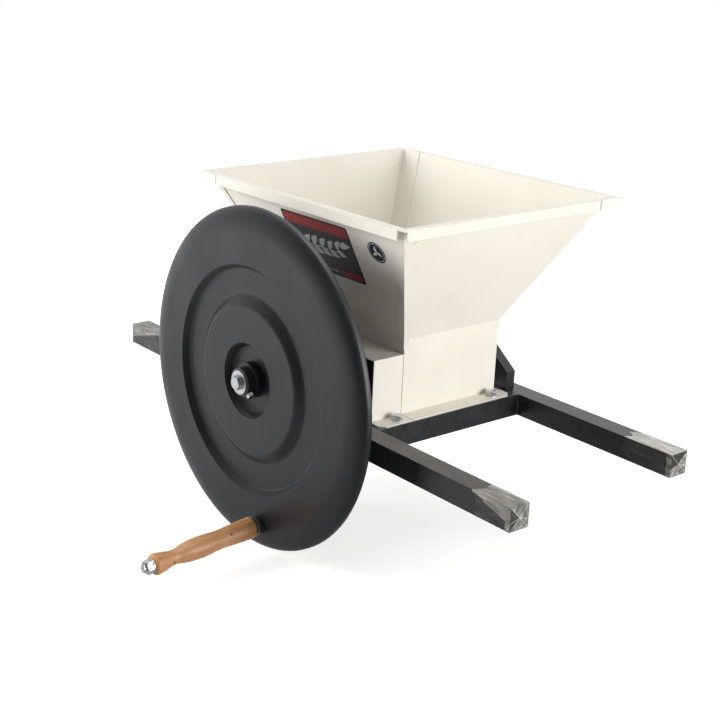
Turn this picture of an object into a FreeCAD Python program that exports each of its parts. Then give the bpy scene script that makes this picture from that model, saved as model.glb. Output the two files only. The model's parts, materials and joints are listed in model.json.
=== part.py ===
# Apple scratter: a hand mill for crushing apples before pressing.
# Millimetres. The origin is the middle of the discharge opening, on the plane of the
# rails' undersides. +X runs along the rails, +Z up, and the shaft lies along Y with the
# flywheel on the -Y side.

import FreeCAD, Part
import math
import os

V = FreeCAD.Vector
X_AXIS = V(1, 0, 0)
Y_AXIS = V(0, 1, 0)
Z_AXIS = V(0, 0, 1)

# Fits
RUNNING = 0.05              # shaft in a plain bush, radial
CLEAR = 0.3
OVER = 1.0                  # how far a cutting shape runs past the faces it cuts

# Frame
TUBE = 30.0                 # square tube, outside
TUBE_WALL = 2.0
RAIL_LENGTH = 810.0
RAIL_GAP = 252.0            # clear width between the rails
CROSSBAR_OUT = 149.0        # outer face of each crossbar from the middle
PLUG_LIP = 1.6
PLUG_DEPTH = 14.0

RAIL_IN = RAIL_GAP / 2
RAIL_OUT = RAIL_IN + TUBE
RAIL_MID = RAIL_IN + TUBE / 2
CROSSBAR_IN = CROSSBAR_OUT - TUBE

# Hopper and mill chamber, folded sheet
SHEET = 1.5
CHAMBER_ON_BAR = 3.0        # front and rear walls stand this far onto the crossbars
BOX_FROM_RAIL = 9.0         # side box to the near rail
BOX_DEPTH = 51.0            # side box, rail side to throat
FAR_FROM_RAIL = 21.0        # far wall to the far rail
SHELF_HIGH = 84.0           # roof of the side box above the rails
NECK_HIGH = 20.0            # upright wall above that roof
HOPPER_HIGH = 175.0         # sloped walls
SPREAD_X = 83.0             # how far the sloped walls lean out
SPREAD_NEAR = 87.0
SPREAD_FAR = 108.0
RIM_FLAT = 10.0             # folded rim, flat part
RIM_LIP = 14.0              # folded rim, down-turned part
RIM_WRAP = 40.0             # length of rim carried round two of the corners
RIM_SEAM = 1.6
LIP_BACK = (13.0, 6.0)      # lips cut back at the near front corner: near one, front one
FOLD = 38.0                 # rear sheet folded round its far corner
CORNER_TAB = 12.0           # strip folded over the neighbouring wall
TAB_POINT = 14.0            # strip's pointed end below the bend
SLIT = (6.5, 11.0)          # relief cut beside the corner at the bend: along it, down
SLIT_WIDE = 0.9
SHELF_TAB = 16.0            # turned down behind the shelf, against the end plate
BOX_SEAM = 0.9              # open seam between side box and throat
FLANGE_BACK = 2.0           # base flange, back from the crossbar's edge
FLANGE_END = 8.0
FLANGE_CHAMFER = 9.0
FLANGE_FAR = 10.0           # far end of the front and rear flanges
FLANGE_FAR_CHAMFER = 8.0
END_PLATE = 3.0
PLATE_BELOW_BEND = 6.0

CHAMBER_X = CROSSBAR_IN + CHAMBER_ON_BAR
BOX_NEAR = BOX_FROM_RAIL - RAIL_IN
THROAT_NEAR = BOX_NEAR + BOX_DEPTH
THROAT_FAR = RAIL_IN - FAR_FROM_RAIL
SHELF_Z = TUBE + SHELF_HIGH
BEND_Z = SHELF_Z + NECK_HIGH
RIM_Z = BEND_Z + HOPPER_HIGH
HOPPER_X = CHAMBER_X + SPREAD_X
HOPPER_NEAR = THROAT_NEAR - SPREAD_NEAR
HOPPER_FAR = THROAT_FAR + SPREAD_FAR
RIM_X = HOPPER_X + RIM_FLAT
RIM_NEAR = HOPPER_NEAR - RIM_FLAT
RIM_FAR = HOPPER_FAR + RIM_FLAT
FLANGE_OUT = CROSSBAR_OUT - FLANGE_BACK - CHAMBER_X
FLANGE_TOP = TUBE + SHEET
NEAR_PLATE_Y = THROAT_NEAR + SHEET
FAR_PLATE_Y = THROAT_FAR - SHEET - END_PLATE

# Bolts, nuts and washers of the frame and housing
M8_R = 4.0
M8_HOLE = M8_R + CLEAR
M8_FLATS = 13.0
M8_HEAD = 5.5
M8_NUT = 6.5
M8_WASHER = 1.6
M8_WASHER_R = 8.0
M8_SPARE = 3.0              # thread left beyond a nut
RIVET_R = 5.5               # rivet nuts in the tubes' top walls: body, bulge under the wall
RIVET_LONG = 14.0
RIVET_BULGE = 1.8
RIVET_BULGE_HIGH = 3.5
BOLT_FROM_BOX = 33.0
BOLT_FROM_FAR = 17.0

HOUSING_BOLT_X = CROSSBAR_OUT - TUBE / 2
HOUSING_BOLT_Y = (BOX_NEAR + BOLT_FROM_BOX, THROAT_FAR - BOLT_FROM_FAR)

# Shaft, bearings and brackets
SHAFT_HIGH = 42.0           # shaft above the rails
SHAFT_R = 10.0
SHAFT_ROOM = 3.0            # round the shaft where it passes a plate
SHAFT_BEYOND = 12.0         # shaft past the far bearing
BUSH_WALL = 3.0
BEARING_SIZE = 64.0
BEARING_PLATE = 7.0
BEARING_CORNER = 8.0
BEARING_BOLT_IN = 9.0
BEARING_BOLT_SPARE = 2.0
BEARING_HUB = 9.0
SPIGOT_WALL = 4.0
BEARING_WALL = 6.0
SPIGOT_FIT = 0.1
COLLAR_WALL = 7.0
COLLAR_WIDE = 11.0
BRACKET_SHEET = 3.0
BRACKET_ON_RAIL = 1.0       # web, onto the rail from its inner face
BRACKET_DEPTH = 16.0
BRACKET_HALF = 124.0
BRACKET_SHOULDER = 24.0     # above the rail
BRACKET_TOP_HALF = 48.0
BRACKET_OVER_SHAFT = 40.0
BRACKET_BOLT_IN = 26.0
BRACKET_BOLT_OUT = 10.0

SHAFT_Z = TUBE + SHAFT_HIGH
SHAFT_HOLE_R = SHAFT_R + SHAFT_ROOM
BUSH_R = SHAFT_R + BUSH_WALL
BEARING_SPIGOT_R = BUSH_R + SPIGOT_WALL
BEARING_HUB_R = BUSH_R + BEARING_WALL
COLLAR_R = SHAFT_R + COLLAR_WALL
BRACKET_IN = RAIL_IN + BRACKET_ON_RAIL
BRACKET_SHOULDER_Z = TUBE + BRACKET_SHOULDER
BRACKET_TOP_Z = SHAFT_Z + BRACKET_OVER_SHAFT
BRACKET_BOLT_X = (BRACKET_BOLT_IN - BRACKET_HALF, BRACKET_HALF - BRACKET_BOLT_IN)
BRACKET_BOLT_Y = BRACKET_IN + BRACKET_BOLT_OUT
BEARING_OUT = BRACKET_IN + BRACKET_SHEET + BEARING_PLATE + BEARING_HUB
SHAFT_FAR = BEARING_OUT + SHAFT_BEYOND

# Drum
DRUM_R = 61.0
DRUM_FROM_NEAR = 10.0       # drum to the throat's near and far walls
DRUM_FROM_FAR = 11.0
DRUM_DISC = 4.0
DISC_SCREW_AT = 36.0        # from the shaft
DISC_SCREW_R = 2.5
DISC_SCREW_LONG = 16.0
DISC_HOLE_SPARE = 2.0
DISC_HEAD_R = 4.5
DISC_HEAD = 2.6
BLADES = 8
BLADE_THICK = 3.0
BLADE_DEEP = 7.0            # in its slot
BLADE_OUT = 6.0             # teeth outside the drum
BLADE_EDGE = 0.5
TOOTH_PITCH = 15.0
TOOTH_CREST = 6.0
TOOTH_ROOT = 9.0
KEY = 6.0
KEY_DEEP = 3.5
KEY_HIGH = 2.5
DRUM_KEY_LONG = 60.0

DRUM_NEAR = THROAT_NEAR + DRUM_FROM_NEAR
DRUM_FAR = THROAT_FAR - DRUM_FROM_FAR
DRUM_MID = (DRUM_NEAR + DRUM_FAR) / 2
BLADE_ROOT = DRUM_R - BLADE_DEEP
HOLE_LONG = DISC_SCREW_LONG - DRUM_DISC + DISC_HOLE_SPARE
BLADE_TIP = DRUM_R + BLADE_OUT
KEY_LOW = SHAFT_Z + SHAFT_R - KEY_DEEP
KEY_TOP = SHAFT_Z + SHAFT_R + KEY_HIGH
KEY_Y = (DRUM_MID - DRUM_KEY_LONG / 2, DRUM_MID + DRUM_KEY_LONG / 2)

# Counter plates
CRUSH_GAP = 10.0            # counter plate to the teeth
ROD_FROM_WALL = 17.0
ROD_BELOW_SHAFT = 19.0
ROD_R = 4.0
ROD_ENDS = (9.0, 13.0)      # past the near plate, past the far wall
ROD_WASHER_R = 12.0
PLATE_SHEET = 3.0
PLATE_BELOW_NECK = 12.0
PLATE_OVER_RAIL = 6.0
PLATE_UPRIGHT = 12.0        # part lying on the wall, above the slope
PLATE_NOSE = 6.0            # height of the nose above the shaft
PLATE_HEEL = 8.0
PLATE_ENDS = 1.0
COMB_THICK = 4.0
COMB_DEEP = 3.5             # fingers stop this far from the drum
COMB_BELOW_SHAFT = 12.0
COMB_FOOT = 18.0
COMB_TIP_CLEAR = 0.6
COMB_BASE_CLEAR = 1.0
COMB_SCREW_PITCH = 55.0
COMB_SCREW_DOWN = 9.0
COMB_SCREW_R = 3.0
COMB_HOLE_R = 3.2
COMB_HEAD_R = 5.0
COMB_HEAD = 1.4
COMB_NUT = 5.0
COMB_NUT_FLATS = 10.0
COMB_SCREW_SPARE = 2.0

CHAMBER_IN = CHAMBER_X - SHEET
ROD_X = CHAMBER_X - ROD_FROM_WALL
ROD_Z = SHAFT_Z - ROD_BELOW_SHAFT
PLATE_TIP_X = BLADE_TIP + CRUSH_GAP
PLATE_TOP_Z = BEND_Z - PLATE_BELOW_NECK
PLATE_LOW_Z = TUBE + PLATE_OVER_RAIL
PLATE_NEAR = NEAR_PLATE_Y + END_PLATE + PLATE_ENDS
PLATE_FAR = FAR_PLATE_Y - PLATE_ENDS
COMB_REACH = DRUM_R + COMB_DEEP
COMB_Z = SHAFT_Z - COMB_BELOW_SHAFT
COMB_SCREW_Y = (DRUM_MID - COMB_SCREW_PITCH, DRUM_MID, DRUM_MID + COMB_SCREW_PITCH)
COMB_SCREW_Z = COMB_Z - COMB_SCREW_DOWN

# Flywheel
WHEEL_R = 229.0
WHEEL_THICK = 20.0
WHEEL_FROM_RAIL = 53.0
EDGE_REACH = 34.0           # front edge, rounded wide and shallow
EDGE_DROP = 14.0
BACK_EDGE = 3.0
GROOVE_OUT = (146.0, 155.0)  # radii between which each side of the groove falls
GROOVE_IN = (98.0, 115.0)
GROOVE_DEEP = 9.0
RECESS = (43.0, 52.0)
RECESS_DEEP = 12.0
COLLAR_WALL_OUT = 5.0       # moulded collar round the hub sleeve
BACK_RIM = 49.0             # width of the rim left at the back
BACK_IN_R = 52.0
BACK_BOSS = 15.0
BACK_DRAFT = 3.0
BACK_DEEP = 6.0
HUB_WALL = 9.0
HUB_FRONT = 11.0            # sleeve in front of the face and behind the back
HUB_REAR = 23.0
SHAFT_SHORT = 1.0           # shaft's end inside the sleeve
HUB_SCREW_IN = 5.9
HUB_SCREW_R = 3.0
HUB_SCREW_SHORT = 0.02      # its foot just off the shaft
HUB_SCREW_FLATS = 10.0
HUB_SCREW_HEAD = 5.0
HUB_SCREW_ANGLE = math.radians(-40)
WHEEL_KEY_ENDS = (5.0, 4.0)  # from the wheel's face, from the sleeve's rear end
M10_R = 5.0
M10_FLATS = 17.0
M10_HEAD = 6.4
M10_NUT = 8.0
END_BOLT_LONG = 26.0
END_HOLE_LONG = 30.0
END_WASHER_R = 16.0
END_WASHER = 2.0

WHEEL_BACK = -RAIL_OUT - WHEEL_FROM_RAIL
WHEEL_FACE = WHEEL_BACK - WHEEL_THICK
BACK_OUT_R = WHEEL_R - BACK_RIM
HUB_R = SHAFT_R + HUB_WALL
COLLAR_OUT_R = HUB_R + COLLAR_WALL_OUT
BACK_BOSS_R = HUB_R + BACK_BOSS
HUB_END = WHEEL_FACE - HUB_FRONT
HUB_BACK = WHEEL_BACK + HUB_REAR
SHAFT_NEAR = HUB_END + SHAFT_SHORT
WHEEL_KEY_Y = (WHEEL_FACE + WHEEL_KEY_ENDS[0], HUB_BACK - WHEEL_KEY_ENDS[1])
HUB_SCREW_Y = HUB_END + HUB_SCREW_IN
HUB_SCREW_DIR = V(math.cos(HUB_SCREW_ANGLE), 0, math.sin(HUB_SCREW_ANGLE))

# Crank handle. It leans outwards a little; lengths run from the wheel's face.
CRANK_FROM_RIM = 34.5
CRANK_ANGLE = math.radians(-80)
CRANK_LEAN = 4.3
BOSS_R = 12.0
BOSS_HIGH = 2.5
BOSS_BACK = 4.0
CRANK_WASHER = 2.0
CRANK_WASHER_R = 12.0
STUD_SPARE = 3.0            # stud past the back nut
FLANGE_NUT = 7.0
FLANGE_NUT_R = 13.5
GRIP_START = 9.3
GRIP_LENGTH = 158.0
GRIP_R = 13.4
# swells and waists of the turning: where, half its length, added radius
GRIP_SWELLS = ((0.0, 30.0, 1.1), (53.0, 16.0, -1.0), (85.0, 16.0, 0.9),
               (GRIP_LENGTH - 32.0, 14.0, -3.7), (GRIP_LENGTH - 4.0, 8.0, 0.8))
GRIP_EDGE = 5.0             # rounding at both ends
GRIP_FIT = 0.08
GRIP_WASHER = 1.6
GRIP_WASHER_R = 10.0
GRIP_NUT = 8.5
STUD_OUT = 3.3              # stud past the grip's nut

CRANK_R = WHEEL_R - CRANK_FROM_RIM
CRANK_X = CRANK_R * math.cos(CRANK_ANGLE)
CRANK_Z = SHAFT_Z + CRANK_R * math.sin(CRANK_ANGLE)
BACK_NUT_AT = -WHEEL_THICK - BOSS_BACK - CRANK_WASHER
GRIP_WASHER_AT = GRIP_START + GRIP_LENGTH + CLEAR
GRIP_NUT_AT = GRIP_WASHER_AT + GRIP_WASHER
STUD_END = GRIP_NUT_AT + GRIP_NUT + STUD_OUT


def block(x0, x1, y0, y1, z0, z1):
    low = V(min(x0, x1), min(y0, y1), min(z0, z1))
    return Part.makeBox(abs(x1 - x0), abs(y1 - y0), abs(z1 - z0), low)


def rod(x, z, radius, y0, y1):
    return Part.makeCylinder(radius, abs(y1 - y0), V(x, min(y0, y1), z), Y_AXIS)


def post(x, y, radius, z0, z1):
    return Part.makeCylinder(radius, abs(z1 - z0), V(x, y, min(z0, z1)), Z_AXIS)


def plate_xy(points, z0, z1):
    wire = Part.makePolygon([V(x, y, z0) for x, y in points + points[:1]])
    return Part.Face(wire).extrude(V(0, 0, z1 - z0))


def plate_xz(points, y0, y1):
    wire = Part.makePolygon([V(x, y0, z) for x, z in points + points[:1]])
    return Part.Face(wire).extrude(V(0, y1 - y0, 0))


def plate_yz(points, x0, x1):
    wire = Part.makePolygon([V(x0, y, z) for y, z in points + points[:1]])
    return Part.Face(wire).extrude(V(x1 - x0, 0, 0))


def slab(first, second):
    # solid between two four-cornered faces whose corners are listed in step
    loops = [first, second[::-1]]
    for i in range(4):
        j = (i + 1) % 4
        loops.append([first[i], second[i], second[j], first[j]])
    faces = []
    for loop in loops:
        corners = [V(*p) for p in loop]
        faces.append(Part.Face(Part.makePolygon(corners + corners[:1])))
    solid = Part.Solid(Part.Shell(faces))
    if solid.Volume < 0:
        solid.reverse()
    return solid


def join(pieces):
    shape = pieces[0].fuse(pieces[1:])
    return shape.removeSplitter()


def mirror_x(shape):
    return shape.mirror(V(0, 0, 0), X_AXIS)


def mirror_y(shape):
    return shape.mirror(V(0, 0, 0), Y_AXIS)


def hexagon(across_flats):
    radius = across_flats / math.sqrt(3)
    return [(radius * math.cos(math.radians(60 * i)), radius * math.sin(math.radians(60 * i)))
            for i in range(6)]


def along(shape, at, axis):
    # shape built on Z at the origin, turned onto the axis and moved
    turned = shape.copy()
    turn = FreeCAD.Rotation(Z_AXIS, axis)
    turned.Placement = FreeCAD.Placement(at, turn)
    return turned


def hex_block(across_flats, height, bore=0.0):
    # hexagon with its outer corners turned off
    body = plate_xy(hexagon(across_flats), 0, height)
    low_r = across_flats / math.sqrt(3) * 1.02 + height * 0.6
    body = body.common(Part.makeCone(low_r, across_flats * 0.48, height))
    if bore:
        body = body.cut(Part.makeCylinder(bore, height))
    return body


def bolt(at, axis, radius, length, flats, head):
    # head stands on the axis side of the point, shank runs the other way
    shank = Part.makeCylinder(radius, length, V(0, 0, -length))
    return along(join([shank, hex_block(flats, head)]), at, axis)


def nut(at, axis, radius, flats, height):
    return along(hex_block(flats, height, radius), at, axis)


def washer(at, axis, inner, outer, thick):
    ring = Part.makeCylinder(outer, thick).cut(Part.makeCylinder(inner, thick))
    return along(ring, at, axis)


# Frame

def near_rail():
    outer = block(-RAIL_LENGTH / 2, RAIL_LENGTH / 2, -RAIL_OUT, -RAIL_IN, 0, TUBE)
    inner = block(-RAIL_LENGTH / 2, RAIL_LENGTH / 2, TUBE_WALL - RAIL_OUT, -RAIL_IN - TUBE_WALL,
                  TUBE_WALL, TUBE - TUBE_WALL)
    rail = outer.cut(inner)
    for x in BRACKET_BOLT_X:
        rail = rail.cut(post(x, -BRACKET_BOLT_Y, RIVET_R, TUBE - TUBE_WALL - OVER, TUBE + OVER))
    return rail


def crossbar():
    outer = block(CROSSBAR_IN, CROSSBAR_OUT, -RAIL_IN, RAIL_IN, 0, TUBE)
    inner = block(CROSSBAR_IN + TUBE_WALL, CROSSBAR_OUT - TUBE_WALL, -RAIL_IN, RAIL_IN,
                  TUBE_WALL, TUBE - TUBE_WALL)
    bar = outer.cut(inner)
    for y in HOUSING_BOLT_Y:
        bar = bar.cut(post(HOUSING_BOLT_X, y, RIVET_R, TUBE - TUBE_WALL - OVER, TUBE + OVER))
    return bar


def rail_plugs():
    # pushed into the four open ends, with a thin lip the size of the tube
    plugs = []
    for side in (-1, 1):
        for end in (-1, 1):
            x = end * RAIL_LENGTH / 2
            y = side * RAIL_MID
            half = TUBE / 2
            core = half - TUBE_WALL
            lip = block(x, x + end * PLUG_LIP, y - half, y + half, 0, TUBE)
            body = block(x, x - end * PLUG_DEPTH, y - core, y + core, half - core, half + core)
            plugs.append(join([lip, body]))
    return plugs


# Hopper and chamber

def rim_flat(points):
    return plate_xy(points, RIM_Z - SHEET, RIM_Z)


def corner_strips(side):
    # strips folded over the neighbouring walls, each running out to a point below the bend;
    # the rear sheet has none at its far corner, where it is folded round instead
    strips = []
    top = RIM_Z - SHEET
    part = (top - BEND_Z) / (RIM_Z - BEND_Z)
    top_x = CHAMBER_X + part * (HOPPER_X - CHAMBER_X)
    corners = [(THROAT_NEAR, HOPPER_NEAR, -SHEET)]
    if side > 0:
        corners.append((THROAT_FAR, HOPPER_FAR, SHEET))
    for throat, mouth, out in corners:
        top_y = throat + part * (mouth - throat)
        face = [(side * top_x, top_y, top), (side * (top_x - CORNER_TAB), top_y, top),
                (side * (CHAMBER_X - CORNER_TAB), throat, BEND_Z), (side * CHAMBER_X, throat, BEND_Z)]
        strips.append(slab(face, [(x, y + out, z) for x, y, z in face]))
        strips.append(plate_xz([(side * CHAMBER_X, BEND_Z), (side * (CHAMBER_X - CORNER_TAB), BEND_Z),
                                (side * CHAMBER_X, BEND_Z - TAB_POINT)],
                               min(throat, throat + out), max(throat, throat + out)))
    return strips


def corner_slit(side):
    # narrow relief cut at the foot of the near corner's fold
    points = [(THROAT_NEAR - OVER, BEND_Z - SLIT[1]), (THROAT_NEAR + SLIT[0], BEND_Z),
              (THROAT_NEAR + SLIT[0] + SLIT_WIDE, BEND_Z)]
    x = side * CHAMBER_X
    return plate_yz(points, min(x, x - side * SHEET) - OVER, max(x, x - side * SHEET) + OVER)


def front_wall():
    t = SHEET
    top = RIM_Z
    outer = [(CHAMBER_X, THROAT_NEAR, BEND_Z), (CHAMBER_X, THROAT_FAR, BEND_Z),
             (HOPPER_X, HOPPER_FAR, top), (HOPPER_X, HOPPER_NEAR, top)]
    inner = [(x - t, y, z) for x, y, z in outer]
    slope = slab(outer, inner)
    upright = block(CHAMBER_X - t, CHAMBER_X, THROAT_NEAR, THROAT_FAR, TUBE, BEND_Z)
    far = THROAT_FAR + FLANGE_FAR
    cut = FLANGE_FAR_CHAMFER
    flange = plate_xy([(CHAMBER_X - t, THROAT_NEAR + CLEAR), (CHAMBER_X + FLANGE_OUT, THROAT_NEAR + CLEAR),
                       (CHAMBER_X + FLANGE_OUT, far - cut), (CHAMBER_X + FLANGE_OUT - cut, far),
                       (CHAMBER_X + CLEAR, far), (CHAMBER_X + CLEAR, THROAT_FAR),
                       (CHAMBER_X - t, THROAT_FAR)], TUBE, TUBE + t)
    wrap = RIM_FAR - RIM_WRAP - RIM_SEAM
    flat = rim_flat([(HOPPER_X - t, HOPPER_NEAR), (RIM_X, RIM_NEAR), (RIM_X, wrap),
                     (HOPPER_X, HOPPER_FAR - RIM_SEAM), (HOPPER_X - t, HOPPER_FAR - RIM_SEAM)])
    lip = block(RIM_X - t, RIM_X, RIM_NEAR + LIP_BACK[1], wrap, RIM_Z - RIM_LIP, RIM_Z - t)
    shape = join([slope, upright, flange, flat, lip] + corner_strips(1))
    shape = shape.cut(corner_slit(1))
    for y in HOUSING_BOLT_Y:
        shape = shape.cut(post(HOUSING_BOLT_X, y, M8_HOLE, TUBE - OVER, FLANGE_TOP + OVER))
    return shape


def rear_wall():
    # like the front wall, with its rim carried round the near corner, and the whole sheet
    # folded round the far corner, where it meets the far wall edge to edge
    t = SHEET
    top = RIM_Z
    outer = [(-CHAMBER_X, THROAT_NEAR, BEND_Z), (-CHAMBER_X, THROAT_FAR, BEND_Z),
             (-HOPPER_X, HOPPER_FAR, top), (-HOPPER_X, HOPPER_NEAR, top)]
    inner = [(x + t, y, z) for x, y, z in outer]
    slope = slab(outer, inner)
    upright = block(-CHAMBER_X, -CHAMBER_X + t, THROAT_NEAR, THROAT_FAR, TUBE, BEND_Z)
    top_fold = -HOPPER_X + FOLD
    fold = [(-CHAMBER_X + t, THROAT_FAR, BEND_Z), (-CHAMBER_X + FOLD, THROAT_FAR, BEND_Z),
            (top_fold, HOPPER_FAR, top), (-HOPPER_X + t, HOPPER_FAR, top)]
    folded = slab(fold, [(x, y - t, z) for x, y, z in fold])
    out_x = -CHAMBER_X - FLANGE_OUT
    far = THROAT_FAR + FLANGE_FAR
    cut = FLANGE_FAR_CHAMFER
    flange = plate_xy([(-CHAMBER_X + t, THROAT_NEAR + CLEAR), (out_x, THROAT_NEAR + CLEAR),
                       (out_x, far - cut), (out_x + cut, far), (-CHAMBER_X - CLEAR, far),
                       (-CHAMBER_X - CLEAR, THROAT_FAR), (-CHAMBER_X + t, THROAT_FAR)],
                      TUBE, TUBE + t)
    wrap = -RIM_X + RIM_WRAP
    flat = rim_flat([(top_fold, HOPPER_FAR), (top_fold, RIM_FAR), (-RIM_X, RIM_FAR),
                     (-RIM_X, RIM_NEAR), (wrap, RIM_NEAR), (-HOPPER_X + t, HOPPER_NEAR),
                     (-HOPPER_X + t, HOPPER_FAR)])
    lip = plate_xy([(top_fold, RIM_FAR), (-RIM_X, RIM_FAR), (-RIM_X, RIM_NEAR), (wrap, RIM_NEAR),
                    (wrap, RIM_NEAR + t), (-RIM_X + t, RIM_NEAR + t), (-RIM_X + t, RIM_FAR - t),
                    (top_fold, RIM_FAR - t)], RIM_Z - RIM_LIP, RIM_Z - t)
    shape = join([slope, folded, upright, flange, flat, lip] + corner_strips(-1))
    shape = shape.cut(corner_slit(-1))
    for y in HOUSING_BOLT_Y:
        shape = shape.cut(post(-HOUSING_BOLT_X, y, M8_HOLE, TUBE - OVER, FLANGE_TOP + OVER))
    return shape


def near_wall():
    t = SHEET
    low = CHAMBER_X - t
    high = HOPPER_X - t
    outer = [(-low, THROAT_NEAR, BEND_Z), (low, THROAT_NEAR, BEND_Z),
             (high, HOPPER_NEAR, RIM_Z), (-high, HOPPER_NEAR, RIM_Z)]
    inner = [(x, y + t, z) for x, y, z in outer]
    slope = slab(outer, inner)
    upright = block(-low, low, THROAT_NEAR, THROAT_NEAR + t, SHELF_Z, BEND_Z)
    wrap = -RIM_X + RIM_WRAP + RIM_SEAM
    flat = rim_flat([(high, HOPPER_NEAR + t), (high, HOPPER_NEAR), (RIM_X, RIM_NEAR),
                     (wrap, RIM_NEAR), (-high + RIM_SEAM, HOPPER_NEAR),
                     (-high + RIM_SEAM, HOPPER_NEAR + t)])
    lip = block(wrap, RIM_X - LIP_BACK[0], RIM_NEAR, RIM_NEAR + t, RIM_Z - RIM_LIP, RIM_Z - t)
    return join([slope, upright, flat, lip])


def far_wall():
    t = SHEET
    low = CHAMBER_X - t
    high = HOPPER_X - t
    start = FOLD + RIM_SEAM
    seam = start - HOPPER_X
    outer = [(low, THROAT_FAR, BEND_Z), (start - CHAMBER_X, THROAT_FAR, BEND_Z),
             (seam, HOPPER_FAR, RIM_Z), (high, HOPPER_FAR, RIM_Z)]
    inner = [(x, y - t, z) for x, y, z in outer]
    slope = slab(outer, inner)
    upright = block(-low, low, THROAT_FAR - t, THROAT_FAR, TUBE, BEND_Z)
    flange = block(-CHAMBER_X, CHAMBER_X, THROAT_FAR, THROAT_FAR + FLANGE_END, TUBE, TUBE + t)
    wrap = RIM_FAR - RIM_WRAP
    flat = rim_flat([(seam, HOPPER_FAR - t), (seam, RIM_FAR), (RIM_X, RIM_FAR), (RIM_X, wrap),
                     (HOPPER_X, HOPPER_FAR), (high, HOPPER_FAR), (high, HOPPER_FAR - t)])
    lip = plate_xy([(seam, RIM_FAR), (RIM_X, RIM_FAR), (RIM_X, wrap), (RIM_X - t, wrap),
                    (RIM_X - t, RIM_FAR - t), (seam, RIM_FAR - t)], RIM_Z - RIM_LIP, RIM_Z - t)
    shape = join([slope, upright, flange, flat, lip])
    shape = shape.cut(rod(0, SHAFT_Z, SHAFT_HOLE_R, THROAT_FAR - SHEET - OVER,
                          THROAT_FAR + FLANGE_END + OVER))
    for x in (-ROD_X, ROD_X):
        shape = shape.cut(rod(x, ROD_Z, ROD_R + CLEAR, THROAT_FAR - SHEET - OVER,
                              THROAT_FAR + FLANGE_END + OVER))
    return shape


def side_box():
    # shelf and two side panels folded from one sheet, with a flange round the foot
    t = SHEET
    y0 = BOX_NEAR
    y1 = THROAT_NEAR - BOX_SEAM
    shelf = block(-CHAMBER_X, CHAMBER_X, y0, y1, SHELF_Z - t, SHELF_Z)
    ledge = block(-CHAMBER_X + t + CLEAR, CHAMBER_X - t - CLEAR, y1, THROAT_NEAR + t,
                  SHELF_Z - t, SHELF_Z)
    tab = block(-CHAMBER_X + t + OVER, CHAMBER_X - t - OVER, THROAT_NEAR, THROAT_NEAR + t,
                SHELF_Z - SHELF_TAB, SHELF_Z)
    pieces = [shelf, ledge, tab]
    for side in (-1, 1):
        x = side * CHAMBER_X
        pieces.append(block(x, x - side * t, y0, y1, TUBE, SHELF_Z))
        out = x + side * FLANGE_OUT
        cut = FLANGE_CHAMFER
        end = y0 - FLANGE_END / 2
        pieces.append(plate_xy([(x - side * t, y1), (out, y1), (out, end + cut), (out - side * cut, end),
                                (x - side * t, end)], TUBE, TUBE + t))
    pieces.append(block(-CHAMBER_X, CHAMBER_X, y0 - FLANGE_END / 2, y0, TUBE, TUBE + t))
    shape = join(pieces)
    for side in (-1, 1):
        for y in HOUSING_BOLT_Y:
            shape = shape.cut(post(side * HOUSING_BOLT_X, y, M8_HOLE, TUBE - OVER, FLANGE_TOP + OVER))
    return shape


def end_plate(y0, y1, z0, z1):
    plate = block(-CHAMBER_IN, CHAMBER_IN, y0, y1, z0, z1)
    plate = plate.cut(rod(0, SHAFT_Z, SHAFT_HOLE_R, y0 - OVER, y1 + OVER))
    for x in (-ROD_X, ROD_X):
        plate = plate.cut(rod(x, ROD_Z, ROD_R + CLEAR, y0 - 1, y1 + 1))
    return plate


def near_end_plate():
    return end_plate(NEAR_PLATE_Y, NEAR_PLATE_Y + END_PLATE, TUBE, BEND_Z - PLATE_BELOW_BEND)


def side_box_plate():
    # closes the side box towards the flywheel
    plate = block(-CHAMBER_IN, CHAMBER_IN, BOX_NEAR + OVER, BOX_NEAR + OVER + END_PLATE, TUBE,
                  SHELF_Z - SHEET)
    return plate.cut(rod(0, SHAFT_Z, SHAFT_HOLE_R, BOX_NEAR, BOX_NEAR + END_PLATE + 2 * OVER))


def far_end_plate():
    y1 = THROAT_FAR - SHEET
    return end_plate(y1 - END_PLATE, y1, TUBE, BEND_Z - PLATE_BELOW_BEND)


def housing_bolts():
    bolts = []
    length = SHEET + M8_WASHER + RIVET_LONG + M8_SPARE
    for side in (-1, 1):
        for y in HOUSING_BOLT_Y:
            top = V(side * HOUSING_BOLT_X, y, FLANGE_TOP + M8_WASHER)
            bolts.append(bolt(top, Z_AXIS, M8_R, length, M8_FLATS, M8_HEAD))
    return bolts


def housing_washers():
    return [washer(V(side * HOUSING_BOLT_X, y, FLANGE_TOP), Z_AXIS, M8_HOLE, M8_WASHER_R, M8_WASHER)
            for side in (-1, 1) for y in HOUSING_BOLT_Y]


def rivet_nut(x, y):
    low = TUBE - TUBE_WALL
    body = join([post(x, y, RIVET_R, TUBE - RIVET_LONG, TUBE),
                 post(x, y, RIVET_R + RIVET_BULGE, low - RIVET_BULGE_HIGH, low)])
    return body.cut(post(x, y, M8_R, TUBE - RIVET_LONG - OVER, TUBE + OVER))


def housing_nuts():
    return [rivet_nut(side * HOUSING_BOLT_X, y) for side in (-1, 1) for y in HOUSING_BOLT_Y]


# Bearing brackets

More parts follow.
